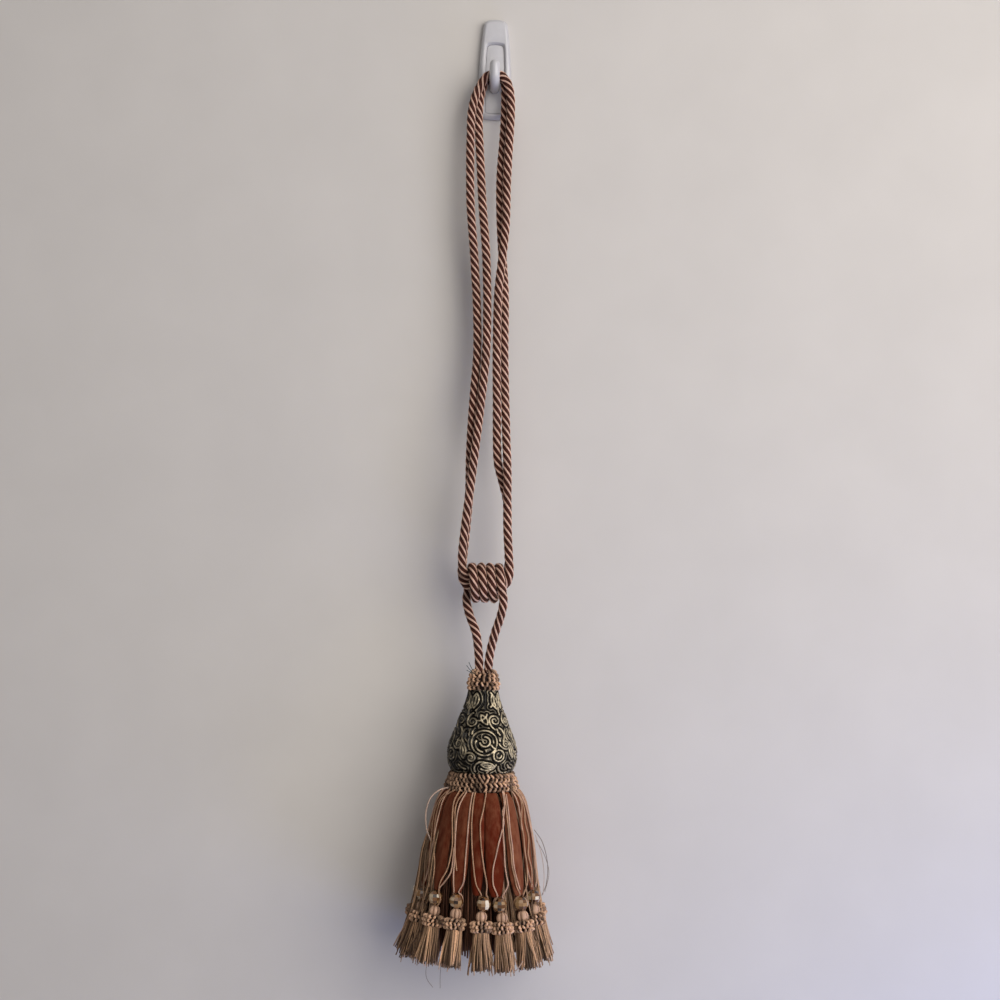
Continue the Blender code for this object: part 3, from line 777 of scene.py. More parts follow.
def painted_plaster(name, colour, blotch):
    """Matt emulsion on plaster: even, with the shallow stipple of a roller."""
    made, tree, shader = new_finish(name, {"Roughness": 0.9})
    where = add_node(tree, "TexCoord", "Object")
    patch = add_node(tree, "TexNoise", "Fac", {"Vector": where, "Scale": per(blotch), "Detail": 3.0})
    stops = [(0.3, darker(colour, 0.96)), (0.7, colour)]
    tone = add_node(tree, "ValToRGB", "Color", {"Fac": patch}, stops)
    stipple = add_node(tree, "TexNoise", "Fac", {"Vector": where, "Scale": per(1.5), "Detail": 3.0})
    relief = {"Height": stipple, "Strength": 0.08, "Distance": 0.2 * MM}
    bump = add_node(tree, "Bump", "Normal", relief)
    set_inputs(tree, shader, {"Base Color": tone, "Normal": bump})
    # The stage can be seen through from behind.
    back = add_node(tree, "NewGeometry", "Backfacing")
    clear = add_node(tree, "BsdfTransparent", "BSDF")
    either = add_node(tree, "MixShader", "Shader", {0: back, 1: shader.outputs["BSDF"], 2: clear})
    set_inputs(tree, tree.nodes["Material Output"], {"Surface": either})
    return made


# Stage.

CAMERA_RIGHT = 0.0126
CAMERA_HEIGHT = -0.455
CAMERA_PITCH = math.radians(1.2)
CAMERA_ROLL = math.radians(1.03)
CAMERA_REACH = 30.0
FLOOR_HEIGHT = -1.6
STAGE_HALF = 4.0
BEHIND_HOOK = 0.0006
MIDDLE = (0.0, 0.0, -0.5)
LAMPS = (  # name, place, what it points at, width, watts, colour, whether it glints
    ("window", (1.25, -1.55, -0.08), MIDDLE, 2.1, 34.0, "#fffaf2", True),
    ("room", (-0.1, -2.6, 1.4), MIDDLE, 1.8, 7.6, "#f8f4ee", True),
    ("bulb", (0.72, -1.2, 0.39), MIDDLE, 0.06, 0.6, "#fff4e6", True),
    ("sky_in_floor", (0.8, -0.42, -1.35), (0.35, 0.0, -0.95), 0.6, 3.6, "#6f98ff", False),
)


def make_camera(stage):
    data = bpy.data.cameras.new("view")
    data.lens = stage.lens
    data.clip_end = CAMERA_REACH
    made = on_stage("view", data)
    made.matrix_world = (
        Matrix.Translation((CAMERA_RIGHT, -stage.distance, CAMERA_HEIGHT))
        @ Matrix.Rotation(math.radians(90.0) + CAMERA_PITCH, 4, "X")
        @ Matrix.Rotation(CAMERA_ROLL, 4, "Z")
    )
    bpy.context.scene.camera = made


def make_lamp(name, place, target, width, watts, colour, glints):
    data = bpy.data.lights.new(name, "AREA")
    data.shape = "DISK"
    data.size = width
    data.energy = watts
    data.color = linear(colour)
    made = on_stage(name, data)
    made.visible_glossy = glints
    made.location = place
    made.rotation_euler = (Vector(target) - Vector(place)).to_track_quat("-Z", "Y").to_euler()


def make_backdrop(name, finish, turn, shift):
    mesh = bmesh.new()
    bmesh.ops.create_grid(mesh, x_segments=1, y_segments=1, size=STAGE_HALF)
    bmesh.ops.rotate(mesh, verts=mesh.verts, cent=(0, 0, 0), matrix=Matrix.Rotation(turn, 3, "X"))
    bmesh.ops.translate(mesh, verts=mesh.verts, vec=shift)
    data = mesh_of(name, mesh)
    data.materials.append(finish)
    on_stage(name, data)


def make_stage(stage):
    scene = bpy.context.scene
    scene.view_settings.view_transform = "Standard"
    scene.view_settings.look = "None"
    make_camera(stage)
    wall = painted_plaster("painted_wall", tuple(stage.wall), 90.0)
    floor = painted_plaster("pale_floor", linear("#a6a6aa"), 60.0)
    make_backdrop("wall", wall, math.radians(90.0), (0.0, BEHIND_HOOK, 0.0))
    make_backdrop("floor", floor, 0.0, (0.0, 0.0, FLOOR_HEIGHT))
    for row in LAMPS:
        make_lamp(*row)
    world = bpy.data.worlds.new("room_light")
    world.use_nodes = True
    # The room is brighter to the right, where its window is.
    tree = world.node_tree
    direction = add_node(tree, "TexCoord", "Generated")
    right = add_node(tree, "SeparateXYZ", "X", {"Vector": direction})
    share = {"Value": right, "From Min": -1.0, "From Max": 1.0, "To Min": 0.1, "To Max": 0.64}
    strength = add_node(tree, "MapRange", "Result", share)
    light = {"Color": (*linear("#e8e5e2"), 1.0), "Strength": strength}
    set_inputs(tree, tree.nodes["Background"], light)
    scene.world = world


# Ropes.

ROPE_STEP = 0.0022
ROPE_PLIES = 8  # proud and sunk by turns
ROPE_COLUMNS = 64
ROPE_CREST = 1.09  # across the crests of the proud plies, against the mean diameter
PROUD_PLY = 0.34  # a ply's radius, against the rope's
SUNK_PLY = 0.31
SUNK_REACH = 0.9  # how far out the sunk plies come, against the proud ones
KNOT_HEIGHT = -0.5062
KNOT_HALF_TALL = 0.0152
KNOT_HALF_DEEP = 0.011
KNOT_TURNS = 3.5
KNOT_PITCH = 0.0085
KNOT_STEPS_A_TURN = 12
KNOT_START = -0.015


def knot_wraps():
    """The neck cord's turns round the loop's two passes, left to right."""
    wraps = []
    for step in range(round(KNOT_TURNS * KNOT_STEPS_A_TURN) + 1):
        turn = math.tau * step / KNOT_STEPS_A_TURN
        wraps.append(
            on_line(
                KNOT_START + KNOT_PITCH * step / KNOT_STEPS_A_TURN,
                -KNOT_HALF_DEEP * math.cos(turn),
                KNOT_HEIGHT + KNOT_HALF_TALL * math.sin(turn),
            )
        )
    return wraps


def make_rope(name, node, route, rope):
    """A laid rope along a route."""
    path, length = evenly(route, ROPE_STEP)
    across = rope.diameter * ROPE_CREST
    section = laid_section(across, ROPE_PLIES, ROPE_COLUMNS, PROUD_PLY, SUNK_PLY, SUNK_REACH)
    finish = rope_finish(name + "_yarn", rope, length / rope.lead)
    made = as_piece(name, laid_cord(name, path, section, rope.lead), finish, node)


def make_ropes(settings):
    neck = [on_line(*row) for row in NECK_LEFT] + knot_wraps()
    neck += [on_line(*row) for row in NECK_RIGHT]
    loop = smooth_curve([on_line(*row) for row in LOOP_ROUTE])
    make_rope("rope_loop", "loop_rope", loop, settings.rope)
    make_rope("neck_rope", "neck_cord", smooth_curve(neck, 6), settings.rope)


# Hook.

# Its outlines and steps are in millimetres.
PLATE_OUTLINE = (  # half width, height, down the right side
    (0.0, 49.2),
    (5.2, 48.8),
    (9.2, 47.6),
    (11.3, 45.2),
    (12.2, 41.0),
    (13.2, 33.0),
    (14.4, 21.0),
    (15.4, 7.0),
    (16.0, -8.0),
    (16.0, -41.0),
    (15.2, -46.0),
    (12.5, -48.6),
    (7.0, -49.3),
    (0.0, -49.5),
)
POCKET_OUTLINE = (
    (0.0, 25.6),
    (5.0, 25.2),
    (8.4, 24.0),
    (9.7, 21.0),
    (10.3, 12.0),
    (10.8, -2.0),
    (10.9, -20.0),
    (10.9, -41.0),
    (10.2, -44.6),
    (7.6, -46.0),
    (0.0, -46.2),
)
PLATE_STEPS = (  # how far in, how far off the wall
    (0.0, 0.0),
    (0.0, 3.3),
    (0.2, 4.6),
    (0.6, 5.7),
    (1.2, 6.6),
    (1.9, 7.25),
    (2.6, 7.7),
    (3.3, 7.92),
    (3.9, 8.0),
)
POCKET_STEPS = (
    (1.6, 3.0),
    (1.6, 5.8),
    (1.3, 6.3),
    (0.6, 7.1),
    (0.15, 7.7),
    (-0.15, 7.94),
    (-0.6, 8.02),
    (-0.7, 9.0),
)
PANEL_STEPS = (
    (1.9, 3.3),
    (1.9, 5.2),
    (2.05, 5.48),
    (2.4, 5.6),
)
ARM_RADIUS = 5.0
ARM_ROUTE = (  # off the wall, height, share of the arm's radius
    (4.2, -20.0, 1.0),
    (9.5, -20.0, 1.0),
    (15.0, -20.0, 1.0),
    (23.0, -20.0, 1.0),
    (27.6, -18.9, 1.0),
    (31.0, -15.6, 1.0),
    (32.2, -11.0, 1.0),
    (32.2, -4.6, 1.0),
    (32.2, -2.4, 0.9),
    (32.2, -0.9, 0.66),
    (32.2, -0.1, 0.25),
)


def ringed_solid(name, outline, steps):
    """A solid alike left and right: its outline drawn in, ring by ring, away from the wall."""
    tall = (outline[0][1] - outline[-1][1]) / 2
    middle = (outline[0][1] + outline[-1][1]) / 2
    half = max(across for across, _ in outline)
    right = smooth_curve([(across, height, 0.0) for across, height in outline], 5)[:, :2]
    left = right[-2:0:-1] * (-1.0, 1.0)
    mesh = bmesh.new()
    rings = []
    for inset, off in steps:
        places = [
            (x * (1.0 - inset / half), -off, middle + (z - middle) * (1.0 - inset / tall))
            for x, z in np.concatenate((right, left))
        ]
        rings.append([mesh.verts.new(Vector(place) * MM) for place in places])
    skinned(mesh, rings)
    return on_stage(name, mesh_of(name, mesh))


def joined(helper, other, operation, name):
    """The mesh of a helper with another cut from it or joined to it. Both helpers go."""
    join = helper.modifiers.new("join", "BOOLEAN")
    join.operation = operation
    join.object = other
    data = baked(helper, name)
    old = other.data
    bpy.data.objects.remove(other)
    bpy.data.meshes.remove(old)
    return smoothed(data)


def bent_arm():
    """The round arm: out from the hook's front, then up to its rounded tip."""
    curve = new_curve("arm")
    curve.bevel_depth = ARM_RADIUS * MM
    curve.bevel_resolution = 12
    rows = smooth_curve([(-off, height, share) for off, height, share in ARM_ROUTE], 4)
    line = add_line(curve, [(0.0, forward * MM, height * MM) for forward, height, _ in rows])
    line.points.foreach_set("radius", rows[:, 2].copy())
    return on_stage("arm", closed_up(baked(on_stage("arm", curve), "arm")))


def make_hook():
    plastic = moulded_plastic()
    plate = ringed_solid("plate", PLATE_OUTLINE, PLATE_STEPS)
    pocket = ringed_solid("pocket", POCKET_OUTLINE, POCKET_STEPS)
    data = joined(plate, pocket, "DIFFERENCE", "wall_plate")
    as_piece("wall_plate", data, plastic, "hook_plate")
    panel = ringed_solid("panel", POCKET_OUTLINE, PANEL_STEPS)
    data = joined(panel, bent_arm(), "UNION", "hook_panel")
    as_piece("hook_panel", data, plastic, "hook_body")


# Head.

HEAD_STEPS = 360
HEAD_ROW = 0.5
HEAD_COAT = 1.2  # how far under the solid's side the ground between the scrolls lies
HEAD_MOUTH = 9.0
HEAD_FOOT = ((22.0, -76.2), (22.0, -92.0), (0.0, -92.0))
SCROLL_STEP = 0.35
SCROLLS_FROM = 1.5
SCROLLS_END_BEFORE = 1.0  # the foot, along the slant
ECHOES_TO = -77.0
ECHO_HEIGHT = 0.84  # against the scroll's
ECHO_NARROWING = 1.35
LIT_SIDE = -0.6  # where the scrolls are painted brightest, on the side towards the window, in radians round: painted light
SHADED_SIDE_DIMMING = 0.28  # how much darker the scrolls are painted on the side away from the window: painted shade
SECTORS = 4
FRONT = -86.0  # where the middle of the first sector's scrolls is, in degrees
SCROLLS = (  # kind, degrees round, slant down, size, turn in degrees, mirrored
    ("leaf", -30.0, 10.0, 7.0, 95.0, False),
    ("arc", 2.0, 9.0, 8.5, 0.0, False),
    ("leaf", 36.0, 11.0, 7.0, 80.0, False),
    ("arc", -14.0, 22.0, 7.0, 120.0, True),
    ("spiral", 26.0, 29.0, 6.6, 190.0, False),
    ("spiral", -28.0, 30.0, 6.2, 10.0, True),
    ("leaf", 0.0, 28.0, 5.4, 60.0, False),
    ("ring", 0.0, 50.0, 11.6, 0.0, False),
    ("hook", 1.0, 49.0, 4.6, -60.0, False),
    ("arc", -1.0, 51.0, 7.4, 150.0, False),
    ("arc", 25.0, 43.0, 8.0, -10.0, False),
    ("arc", -26.0, 44.0, 9.0, 175.0, False),
    ("dash", 30.0, 40.0, 3.0, 70.0, False),
    ("dash", -22.0, 39.0, 3.0, 110.0, False),
    ("spiral", 41.0, 52.0, 5.4, 90.0, True),
    ("leaf", -37.0, 58.0, 7.0, 80.0, False),
    ("ring", 25.0, 62.0, 5.2, 0.0, False),
    ("hook", 25.0, 62.0, 2.4, 30.0, False),
    ("spiral", -22.0, 64.0, 5.0, -60.0, False),
    ("arc", 5.0, 67.0, 9.0, 75.0, False),
    ("leaf", 6.0, 71.0, 6.0, 8.0, False),
    ("hook", -4.0, 74.0, 6.5, 180.0, False),
    ("arc", 40.0, 71.0, 8.0, 60.0, True),
    ("dash", -40.0, 73.0, 4.0, 30.0, False),
    ("dash", 16.0, 54.0, 2.6, 40.0, False),
    ("dash", -44.0, 20.0, 3.4, 100.0, False),
)


def around(radius, start, end, steps=24):
    """Points on an arc, in the flat."""
    turns = np.radians(np.linspace(start, end, steps))
    return np.column_stack((radius * np.cos(turns), radius * np.sin(turns)))


def scroll_strokes(kind, size):
    """The strokes of one ornament in the flat, in millimetres round its middle."""
    if kind == "ring":
        return [around(size, 0.0, 360.0, 60)]
    if kind == "hook":
        return [around(size, -30.0, 225.0, 30)]
    if kind == "arc":
        return [around(size, -52.0, 52.0)]
    if kind == "dash":
        return [np.array(((-size, 0.0), (0.0, 0.25 * size), (size, 0.0)))]
    if kind == "leaf":
        across = np.linspace(-1.0, 1.0, 16)
        bulge = 0.42 * size * (1.0 - across**2)
        outline = [np.column_stack((across * size, side * bulge)) for side in (-1.0, 1.0)]
        rib = np.column_stack((across * 0.55 * size, 0.0 * across))
        return outline + ([rib] if size > 5.5 else [])
    turns = np.linspace(0.0, 1.0, 60)
    swirl = 0.8 * size * (1.0 - 0.84 * turns)
    bend = turns * math.radians(560.0)
    curl = np.column_stack((swirl * np.cos(bend), swirl * np.sin(bend)))
    tail = around(size * 1.4, -70.0, 0.0, 16) - (size * 0.6, 0.0)
    return [curl, tail]


def head_outline():
    """The head's side from top to foot, in even steps: radius and height in millimetres."""
    rows = [(radius - HEAD_COAT, height, 0.0) for radius, height in HEAD_PROFILE]
    return evenly(smooth_curve(rows, 8)[:, :2], HEAD_ROW)


def scroll_tree(outline, slant_length):
    """Every stroke's points laid round the head, in a tree that finds the nearest."""
    slants = np.linspace(0.0, slant_length, len(outline))
    found = []
    for sector in range(SECTORS):
        for kind, degrees, slant, size, turn, mirrored in SCROLLS:
            middle = math.radians(degrees + FRONT + 360.0 * sector / SECTORS)
            cosine, sine = math.cos(math.radians(turn)), math.sin(math.radians(turn))
            for stroke in scroll_strokes(kind, size):
                fine, _ = evenly(stroke, SCROLL_STEP)
                u = fine[:, 0] * cosine - fine[:, 1] * sine
                down = slant + fine[:, 0] * sine + fine[:, 1] * cosine
                radius = np.interp(down, slants, outline[:, 0])
                height = np.interp(down, slants, outline[:, 1])
                angle = middle + (-u if mirrored else u) / radius
                inside = (down > SCROLLS_FROM) & (down < slant_length - SCROLLS_END_BEFORE)
                places = np.column_stack((radius * np.cos(angle), radius * np.sin(angle), height))
                found.extend(places[inside])
    tree = KDTree(len(found))
    for index, place in enumerate(found):
        tree.insert(place, index)
    tree.balance()
    return tree


def make_head(settings):
    head = settings.head
    outline, slant_length = head_outline()
    tree = scroll_tree(outline, slant_length)
    mesh = spun([(0.0, 0.0), (HEAD_MOUTH, 0.0), *outline, *HEAD_FOOT], HEAD_STEPS)
    relief = mesh.verts.layers.float.new("relief")
    reach = head.scroll_width / MM / 2
    tall = head.scroll_height / MM
    echo = head.echo / MM
    for vert in mesh.verts:
        distance = tree.find(vert.co)[2]
        share = 0.0
        if distance < reach:
            share = math.sqrt(1.0 - (distance / reach) ** 2)
        elif vert.co.z > ECHOES_TO:
            aside = ECHO_NARROWING * math.remainder(distance, echo) / reach
            share = ECHO_HEIGHT * math.sqrt(max(0.0, 1.0 - aside**2))
        if share:
            # Painted shade: the relief share, and with it the scrolls' colour, is lower on the side
            # away from the window.
            turn = math.atan2(vert.co.y, vert.co.x) - LIT_SIDE
            vert[relief] = share * (1.0 - SHADED_SIDE_DIMMING * (1.0 - math.cos(turn)) / 2)
            vert.co += Vector((vert.co.x, vert.co.y, 0.0)).normalized() * tall * share
    bmesh.ops.transform(mesh, matrix=TASSEL @ Matrix.Scale(MM, 4), verts=mesh.verts)
    data = smoothed(mesh_of("carved_head", mesh), 70.0)
    as_piece("carved_head", data, antique_lacquer(head), "head")


# Looped ruffs.

COLLAR_ROWS = (  # radius, height, loops round
    (28.4, -78.6, 42),
    (30.0, -82.4, 43),
    (31.6, -86.3, 44),
    (32.6, -90.2, 45),
)
COLLAR_LOOP = (4.4, 2.0)  # how tall a loop is, and how far it stands out
COLLAR_BAND = ((22.4, -76.6), (27.4, -76.8), (31.6, -90.0), (31.0, -92.6), (22.4, -92.6))
TOP_RUFF_ROWS = (
    (12.6, 1.6, 17),
    (13.0, 5.6, 17),
    (12.4, 9.6, 16),
    (11.2, 13.4, 15),
    (9.6, 16.4, 12),
)
TOP_RUFF_LOOP = (3.9, 2.2)
TOP_RUFF_BAND = ((8.9, 0.4), (11.8, 0.4), (12.2, 6.0), (10.4, 14.0), (8.9, 16.0))
LOOP_TUCK = 1.4  # how far inside its ring a loop's legs start
LOOP_YARN = 1.05
TOP_LOOP_YARN = 1.1
CHEVRON_FROM = math.radians(-85.0)
CHEVRON_TO = math.radians(60.0)
CHEVRON_LEAN = math.radians(34.0)
GRAIN_LEAN = math.radians(-24.0)
BAND_STEPS = 64


def hairpin(angle, radius, height, tall, deep, lean):
    """One hairpin of yarn that stands out from a ring, its legs tucked in above and below."""
    shares = np.linspace(-1.0, 1.0, 7)
    out = radius - LOOP_TUCK + (deep + LOOP_TUCK) * (1.0 - np.abs(shares) ** 2.6)
    turned = angle + 0.5 * tall * shares * math.sin(lean) / radius
    up = height + 0.5 * tall * shares * math.cos(lean)
    return np.column_stack((out * np.cos(turned), out * np.sin(turned), up))


def looped_rows(rows, size, lean_of, rng):
    """Staggered rows of hairpins round a ring."""
    tall, deep = size
    routes = []
    for row, (radius, height, count) in enumerate(rows):
        for step in range(count):
            angle = math.tau * (step + 0.5 * (row % 2) + rng.uniform(-0.12, 0.12)) / count
            routes.append(
                hairpin(
                    angle,
                    radius + rng.uniform(-0.3, 0.3),
                    height + rng.uniform(-0.35, 0.35),
                    tall * rng.uniform(0.88, 1.12),
                    deep * rng.uniform(0.75, 1.25),
                    lean_of(angle, row) + rng.uniform(-0.16, 0.16),
                )
            )
    return routes


def in_chevrons(angle):
    return CHEVRON_FROM < angle < CHEVRON_TO


def collar_lean(angle, row):
    """Grains lean one way on the left, and zigzag on the right."""
    if in_chevrons((angle + math.pi) % math.tau - math.pi):
        return CHEVRON_LEAN if row % 2 else -CHEVRON_LEAN
    return GRAIN_LEAN


def make_band(name, profile, finish):
    """The ring of cloth that a ruff's loops are sewn to."""
    mesh = spun((*profile, profile[0]), BAND_STEPS)
    bmesh.ops.transform(mesh, matrix=TASSEL @ Matrix.Scale(MM, 4), verts=mesh.verts)
    as_piece(name, smoothed(mesh_of(name, mesh)), finish)


def knot_tones(skirt):
    return shades(skirt.knots, 0.2, 0.62, 1.0, 1.25)


def make_ruffs(settings):
    rng = random.Random(11)
    tones = knot_tones(settings.skirt)
    loops = yarn_finish("rose_beige_loops", tones)
    # The backing cloth is near black: painted shade in the gaps between the loops.
    band = yarn_finish("backing_cloth_painted_shade", tones_of("#1a0905", "#260f09"))
    # The loops on the side away from the window take the same tones at 0.55: painted shade.
    shaded_grains = yarn_finish("grain_loops_painted_shade", [darker(tone, 0.55) for tone in tones])
    sides = {True: [], False: []}
    for route in looped_rows(COLLAR_ROWS, COLLAR_LOOP, collar_lean, rng):
        angle = math.atan2(route[3][1], route[3][0])
        sides[in_chevrons(angle)].append(placed(route, TASSEL))
    groups = [(sides[True], LOOP_YARN, loops), (sides[False], LOOP_YARN, shaded_grains)]
    yarns("collar_loops", groups, 6, "collar")
    make_band("collar_band", COLLAR_BAND, band)
    routes = looped_rows(TOP_RUFF_ROWS, TOP_RUFF_LOOP, lambda *_: rng.uniform(-0.45, 0.25), rng)
    groups = [([placed(route, TASSEL) for route in routes], TOP_LOOP_YARN, loops)]
    yarns("top_ruff_loops", groups, 6, "top_ruff")
    make_band("top_ruff_band", TOP_RUFF_BAND, band)


# Skirt.

SKIRT_YARNS = 900
SKIRT_ROWS = 13
SKIRT_YARN = 0.8
SKIRT_TOP = -90.0
SKIRT_HEM = -235.0
SKIRT_WAVE = 0.8
SKIRT_TONES = ("#260d08", "#543020", "#724a36", "#36170e", "#88624c")


def make_under_skirt():
    rng = random.Random(23)
    profile = smooth_curve([(radius, -height, 0.0) for radius, height in SKIRT_PROFILE], 6)
    heights = np.linspace(SKIRT_TOP, SKIRT_HEM, SKIRT_ROWS)
    radii = np.interp(-heights, profile[:, 1], profile[:, 0])
    routes = []
    for _ in range(SKIRT_YARNS):
        angle = rng.uniform(-math.pi, math.pi)
        depth = math.sqrt(rng.uniform(0.03, 1.0))
        drift = rng.uniform(-0.14, 0.14)
        wave = rng.uniform(0.0, math.tau)
        hem = rng.uniform(-3.5, 3.0)
        route = []
        for share, radius, height in zip(np.linspace(0.0, 1.0, SKIRT_ROWS), radii, heights):
            out = radius * depth + SKIRT_WAVE * (math.sin(wave + 7.0 * share) - 1.0)
            turned = angle + drift * share + 0.02 * math.sin(wave + 5.0 * share)
            x, y = pressed(turned, max(out, 1.0), SKIRT_REACH_BACK)
            route.append((x, y, height + hem * share))
        routes.append(placed(route, TASSEL))
    finish = yarn_finish("umber_skirt_yarn", tones_of(*SKIRT_TONES))
    yarns("under_skirt_yarns", [(routes, SKIRT_YARN, finish)], node="under_skirt")


# Petals and the cords that edge them.

PETAL_CLOTH = 1.2
PETAL_CROWN = 1.4  # how far a petal's middle bulges past its edges
PETAL_SEGMENTS = (8, 26)
PETAL_SHAPE = evenly(smooth_curve(PETAL_LINE, 8), 1.0)[0]  # out from the axis, height, half width


def down_petal(down, column):
    """PETAL_SHAPE's value that share of the way down a petal: 0 is the collar and 1 the bead."""
    return np.interp(down, np.linspace(0.0, 1.0, len(PETAL_SHAPE)), PETAL_SHAPE[:, column])


def petal_place(unit, down, across, lift):
    """A place on a petal: how far down it, across it from -1 to 1, and off it."""
    out, height, half = (down_petal(down, column) for column in range(3))
    height -= unit.drop * min(1.0, max(0.0, down))
    out -= set_in(unit.petal) * down**2
    crown = PETAL_CROWN * (1.0 - min(1.0, across * across)) * min(1.0, half / 6.0)
    angle = unit.petal + across * half * unit.share / out
    x, y = pressed(angle, out + crown + lift, REACH_BACK)
    return x, y, height


# How pale each petal is painted at its head and at its foot: a painted sheen, strongest on the petals
# that face the window, which falls off towards the foot of most petals as painted shade. The rest are
# as 0.
PAINTED_SHEEN = {
    0: (0.5, 0.3),
    1: (0.55, 0.4),
    2: (0.6, 0.3),
    3: (0.3, 0.0),
    4: (0.42, -0.1),
    5: (0.85, 0.75),
    6: (0.9, 0.8),
    7: (0.7, 0.6),
}


def make_petal(unit, finish, rng):
    """A velvet tongue, gently folded, with a thickness and a soft edge."""
    wave = rng.uniform(0.0, math.tau)
    twist = rng.uniform(-0.5, 0.5)
    mesh = bmesh.new()
    columns, rows = PETAL_SEGMENTS
    bmesh.ops.create_grid(mesh, x_segments=columns, y_segments=rows, size=1.0)
    painted_sheen = mesh.verts.layers.float.new("painted_sheen")
    head, foot = PAINTED_SHEEN.get(unit.number, PAINTED_SHEEN[0])
    for vert in mesh.verts:
        across, down = vert.co.x, 0.5 - 0.5 * vert.co.y
        # Each petal is painted paler at its head, a painted sheen, and darker towards its foot,
        # painted shade.
        vert[painted_sheen] = head + (foot - head) * down
        fold = 0.45 * math.sin(wave + 3.4 * across + 4.0 * down) + twist * across * down
        edge = -0.5 * across**4
        vert.co = TASSEL @ (Vector(petal_place(unit, down, across, fold + edge)) * MM)
    bmesh.ops.recalc_face_normals(mesh, faces=mesh.faces)
    outward = TASSEL.to_3x3() @ Vector((math.cos(unit.petal), math.sin(unit.petal), 0.0))
    if sum((face.normal for face in mesh.faces), Vector()).dot(outward) < 0.0:
        bmesh.ops.reverse_faces(mesh, faces=mesh.faces)
    name = f"velvet_petal_{unit.number:02d}"
    data = mesh_of(name, mesh)
    data.shade_smooth()
    made = as_piece(name, data, finish, f"petal_{unit.number:02d}")
    cloth = made.modifiers.new("thickness", "SOLIDIFY")
    cloth.thickness = PETAL_CLOTH * MM
    cloth.offset = -1.0
    soft = made.modifiers.new("pile", "SUBSURF")
    soft.levels = soft.render_levels = 1


def make_petals(settings):
    rng = random.Random(5)
    finish = velvet_finish(settings.skirt.velvet, settings.skirt.pale_streak_and_sheen)
    for unit in units():
        make_petal(unit, finish, rng)


# Where cords stray from the petals' edges: rows of degrees round, height. A key is the petal's
# number and its side, -1 for the left.
CORD_RUNS = {
    (1, -1): ((-134, -91), (-147, -97), (-153, -103), (-153, -113), (-151, -123), (-147, -134),
              (-143, -146), (-139, -158), (-138, -171)),
    (1, 1): ((-124, -91), (-126, -100), (-124, -112), (-121, -125), (-119, -138), (-120, -151),
             (-122, -160), (-128, -172)),
    (2, -1): ((-112, -91), (-117, -103), (-118, -114), (-117, -128), (-116, -141), (-115, -152),
              (-115, -161), (-114, -171)),
    (3, 1): ((-82, -91), (-84, -96), (-86, -103), (-88, -110), (-90, -118), (-89, -135), (-86, -155),
             (-83, -171)),
    (4, -1): ((-54, -91), (-57, -100), (-63, -108), (-63, -118), (-67, -127), (-71, -137), (-74, -147),
              (-77, -158), (-77, -171)),
    (4, 1): ((-56, -91), (-60, -104), (-64, -116), (-65, -128), (-65, -141), (-65, -154), (-64, -164),
             (-63, -172)),
    (5, -1): ((-53, -91), (-57, -101), (-58, -110), (-58, -120), (-58, -132), (-57, -145), (-57, -156),
              (-55, -165), (-54, -173)),
    (5, 1): ((-33, -91), (-28, -97), (-30, -104), (-35, -112), (-39, -121), (-38, -131), (-39, -143),
             (-38, -155), (-39, -165), (-41, -173)),
}
SPARE_RUNS = (  # more lengths of the same cord, which end in among the rest
    ((-146, -91), (-155, -98), (-160, -107), (-160, -116), (-156, -126), (-152, -138), (-150, -152),
     (-146, -166), (-142, -178)),
    ((-117, -140), (-117, -152), (-118, -162), (-123, -170), (-129, -177)),
    ((-115, -91), (-121, -99), (-122, -107), (-119, -120), (-117, -134), (-115, -147), (-112, -160)),
    ((-51, -94), (-55, -108), (-56, -124), (-55, -140), (-55, -154), (-53, -166), (-50, -177)),
    ((-31, -91), (-24, -97), (-25, -108), (-30, -120), (-28, -134), (-33, -148), (-30, -162),
     (-34, -177)),
)
# How edge cords pass a bead: rows of down, aside and out. They show round the beads of two
# units, and go behind the rest.
ROUND_BEAD_UNITS = (1, 15)
ROUND_BEAD = ((-4.4, 5.2, 0.8), (0.2, 6.9, 0.8), (4.6, 5.2, 0.8), (7.2, 1.6, 0.8))
BEHIND_BEAD = ((-8.0, 2.2, 0.6), (-5.6, 4.0, -2.0), (0.0, 4.6, -5.6), (6.0, 2.4, -5.6))
CORD_STEP = 1.25
CORD_PLIES = 3
CORD_COLUMNS = 12
CORD_LEAD = 5.2
CORD_LIFT = 1.7  # off the petal at its edge
RUN_LIFT = 2.3
CROSSING_LIFT = 0.25  # right cords cross over left ones
SPARE_LIFT = 2.0


def cord_place(degrees, height, lift):
    """A place that far round, resting on the petals."""
    out = np.interp(-height, -PETAL_SHAPE[:, 1], PETAL_SHAPE[:, 0])
    x, y = pressed(math.radians(degrees), out + lift, REACH_BACK)
    return x, y, height


def edge_run(unit, side, rng):
    """Down one edge of a petal, wavering a little."""
    first, second = rng.uniform(-1.4, 1.4), rng.uniform(-2.2, 2.2)
    route = []
    for down in np.linspace(-0.02, 0.9, 12):
        shift = side * (down_petal(down, 2) * unit.share - 0.3)
        shift += np.interp(down, (0.0, 0.3, 0.7, 1.0), (0.0, first, second, 0.0))
        angle = unit.petal + (unit.bead - unit.petal) * max(0.0, down) ** 3
        out = down_petal(down, 0) + CORD_LIFT - set_in(angle) * max(0.0, down) ** 2
        x, y = pressed(angle + shift / out, out, REACH_BACK)
        route.append((x, y, petal_place(unit, down, 0.0, 0.0)[2]))
    return route


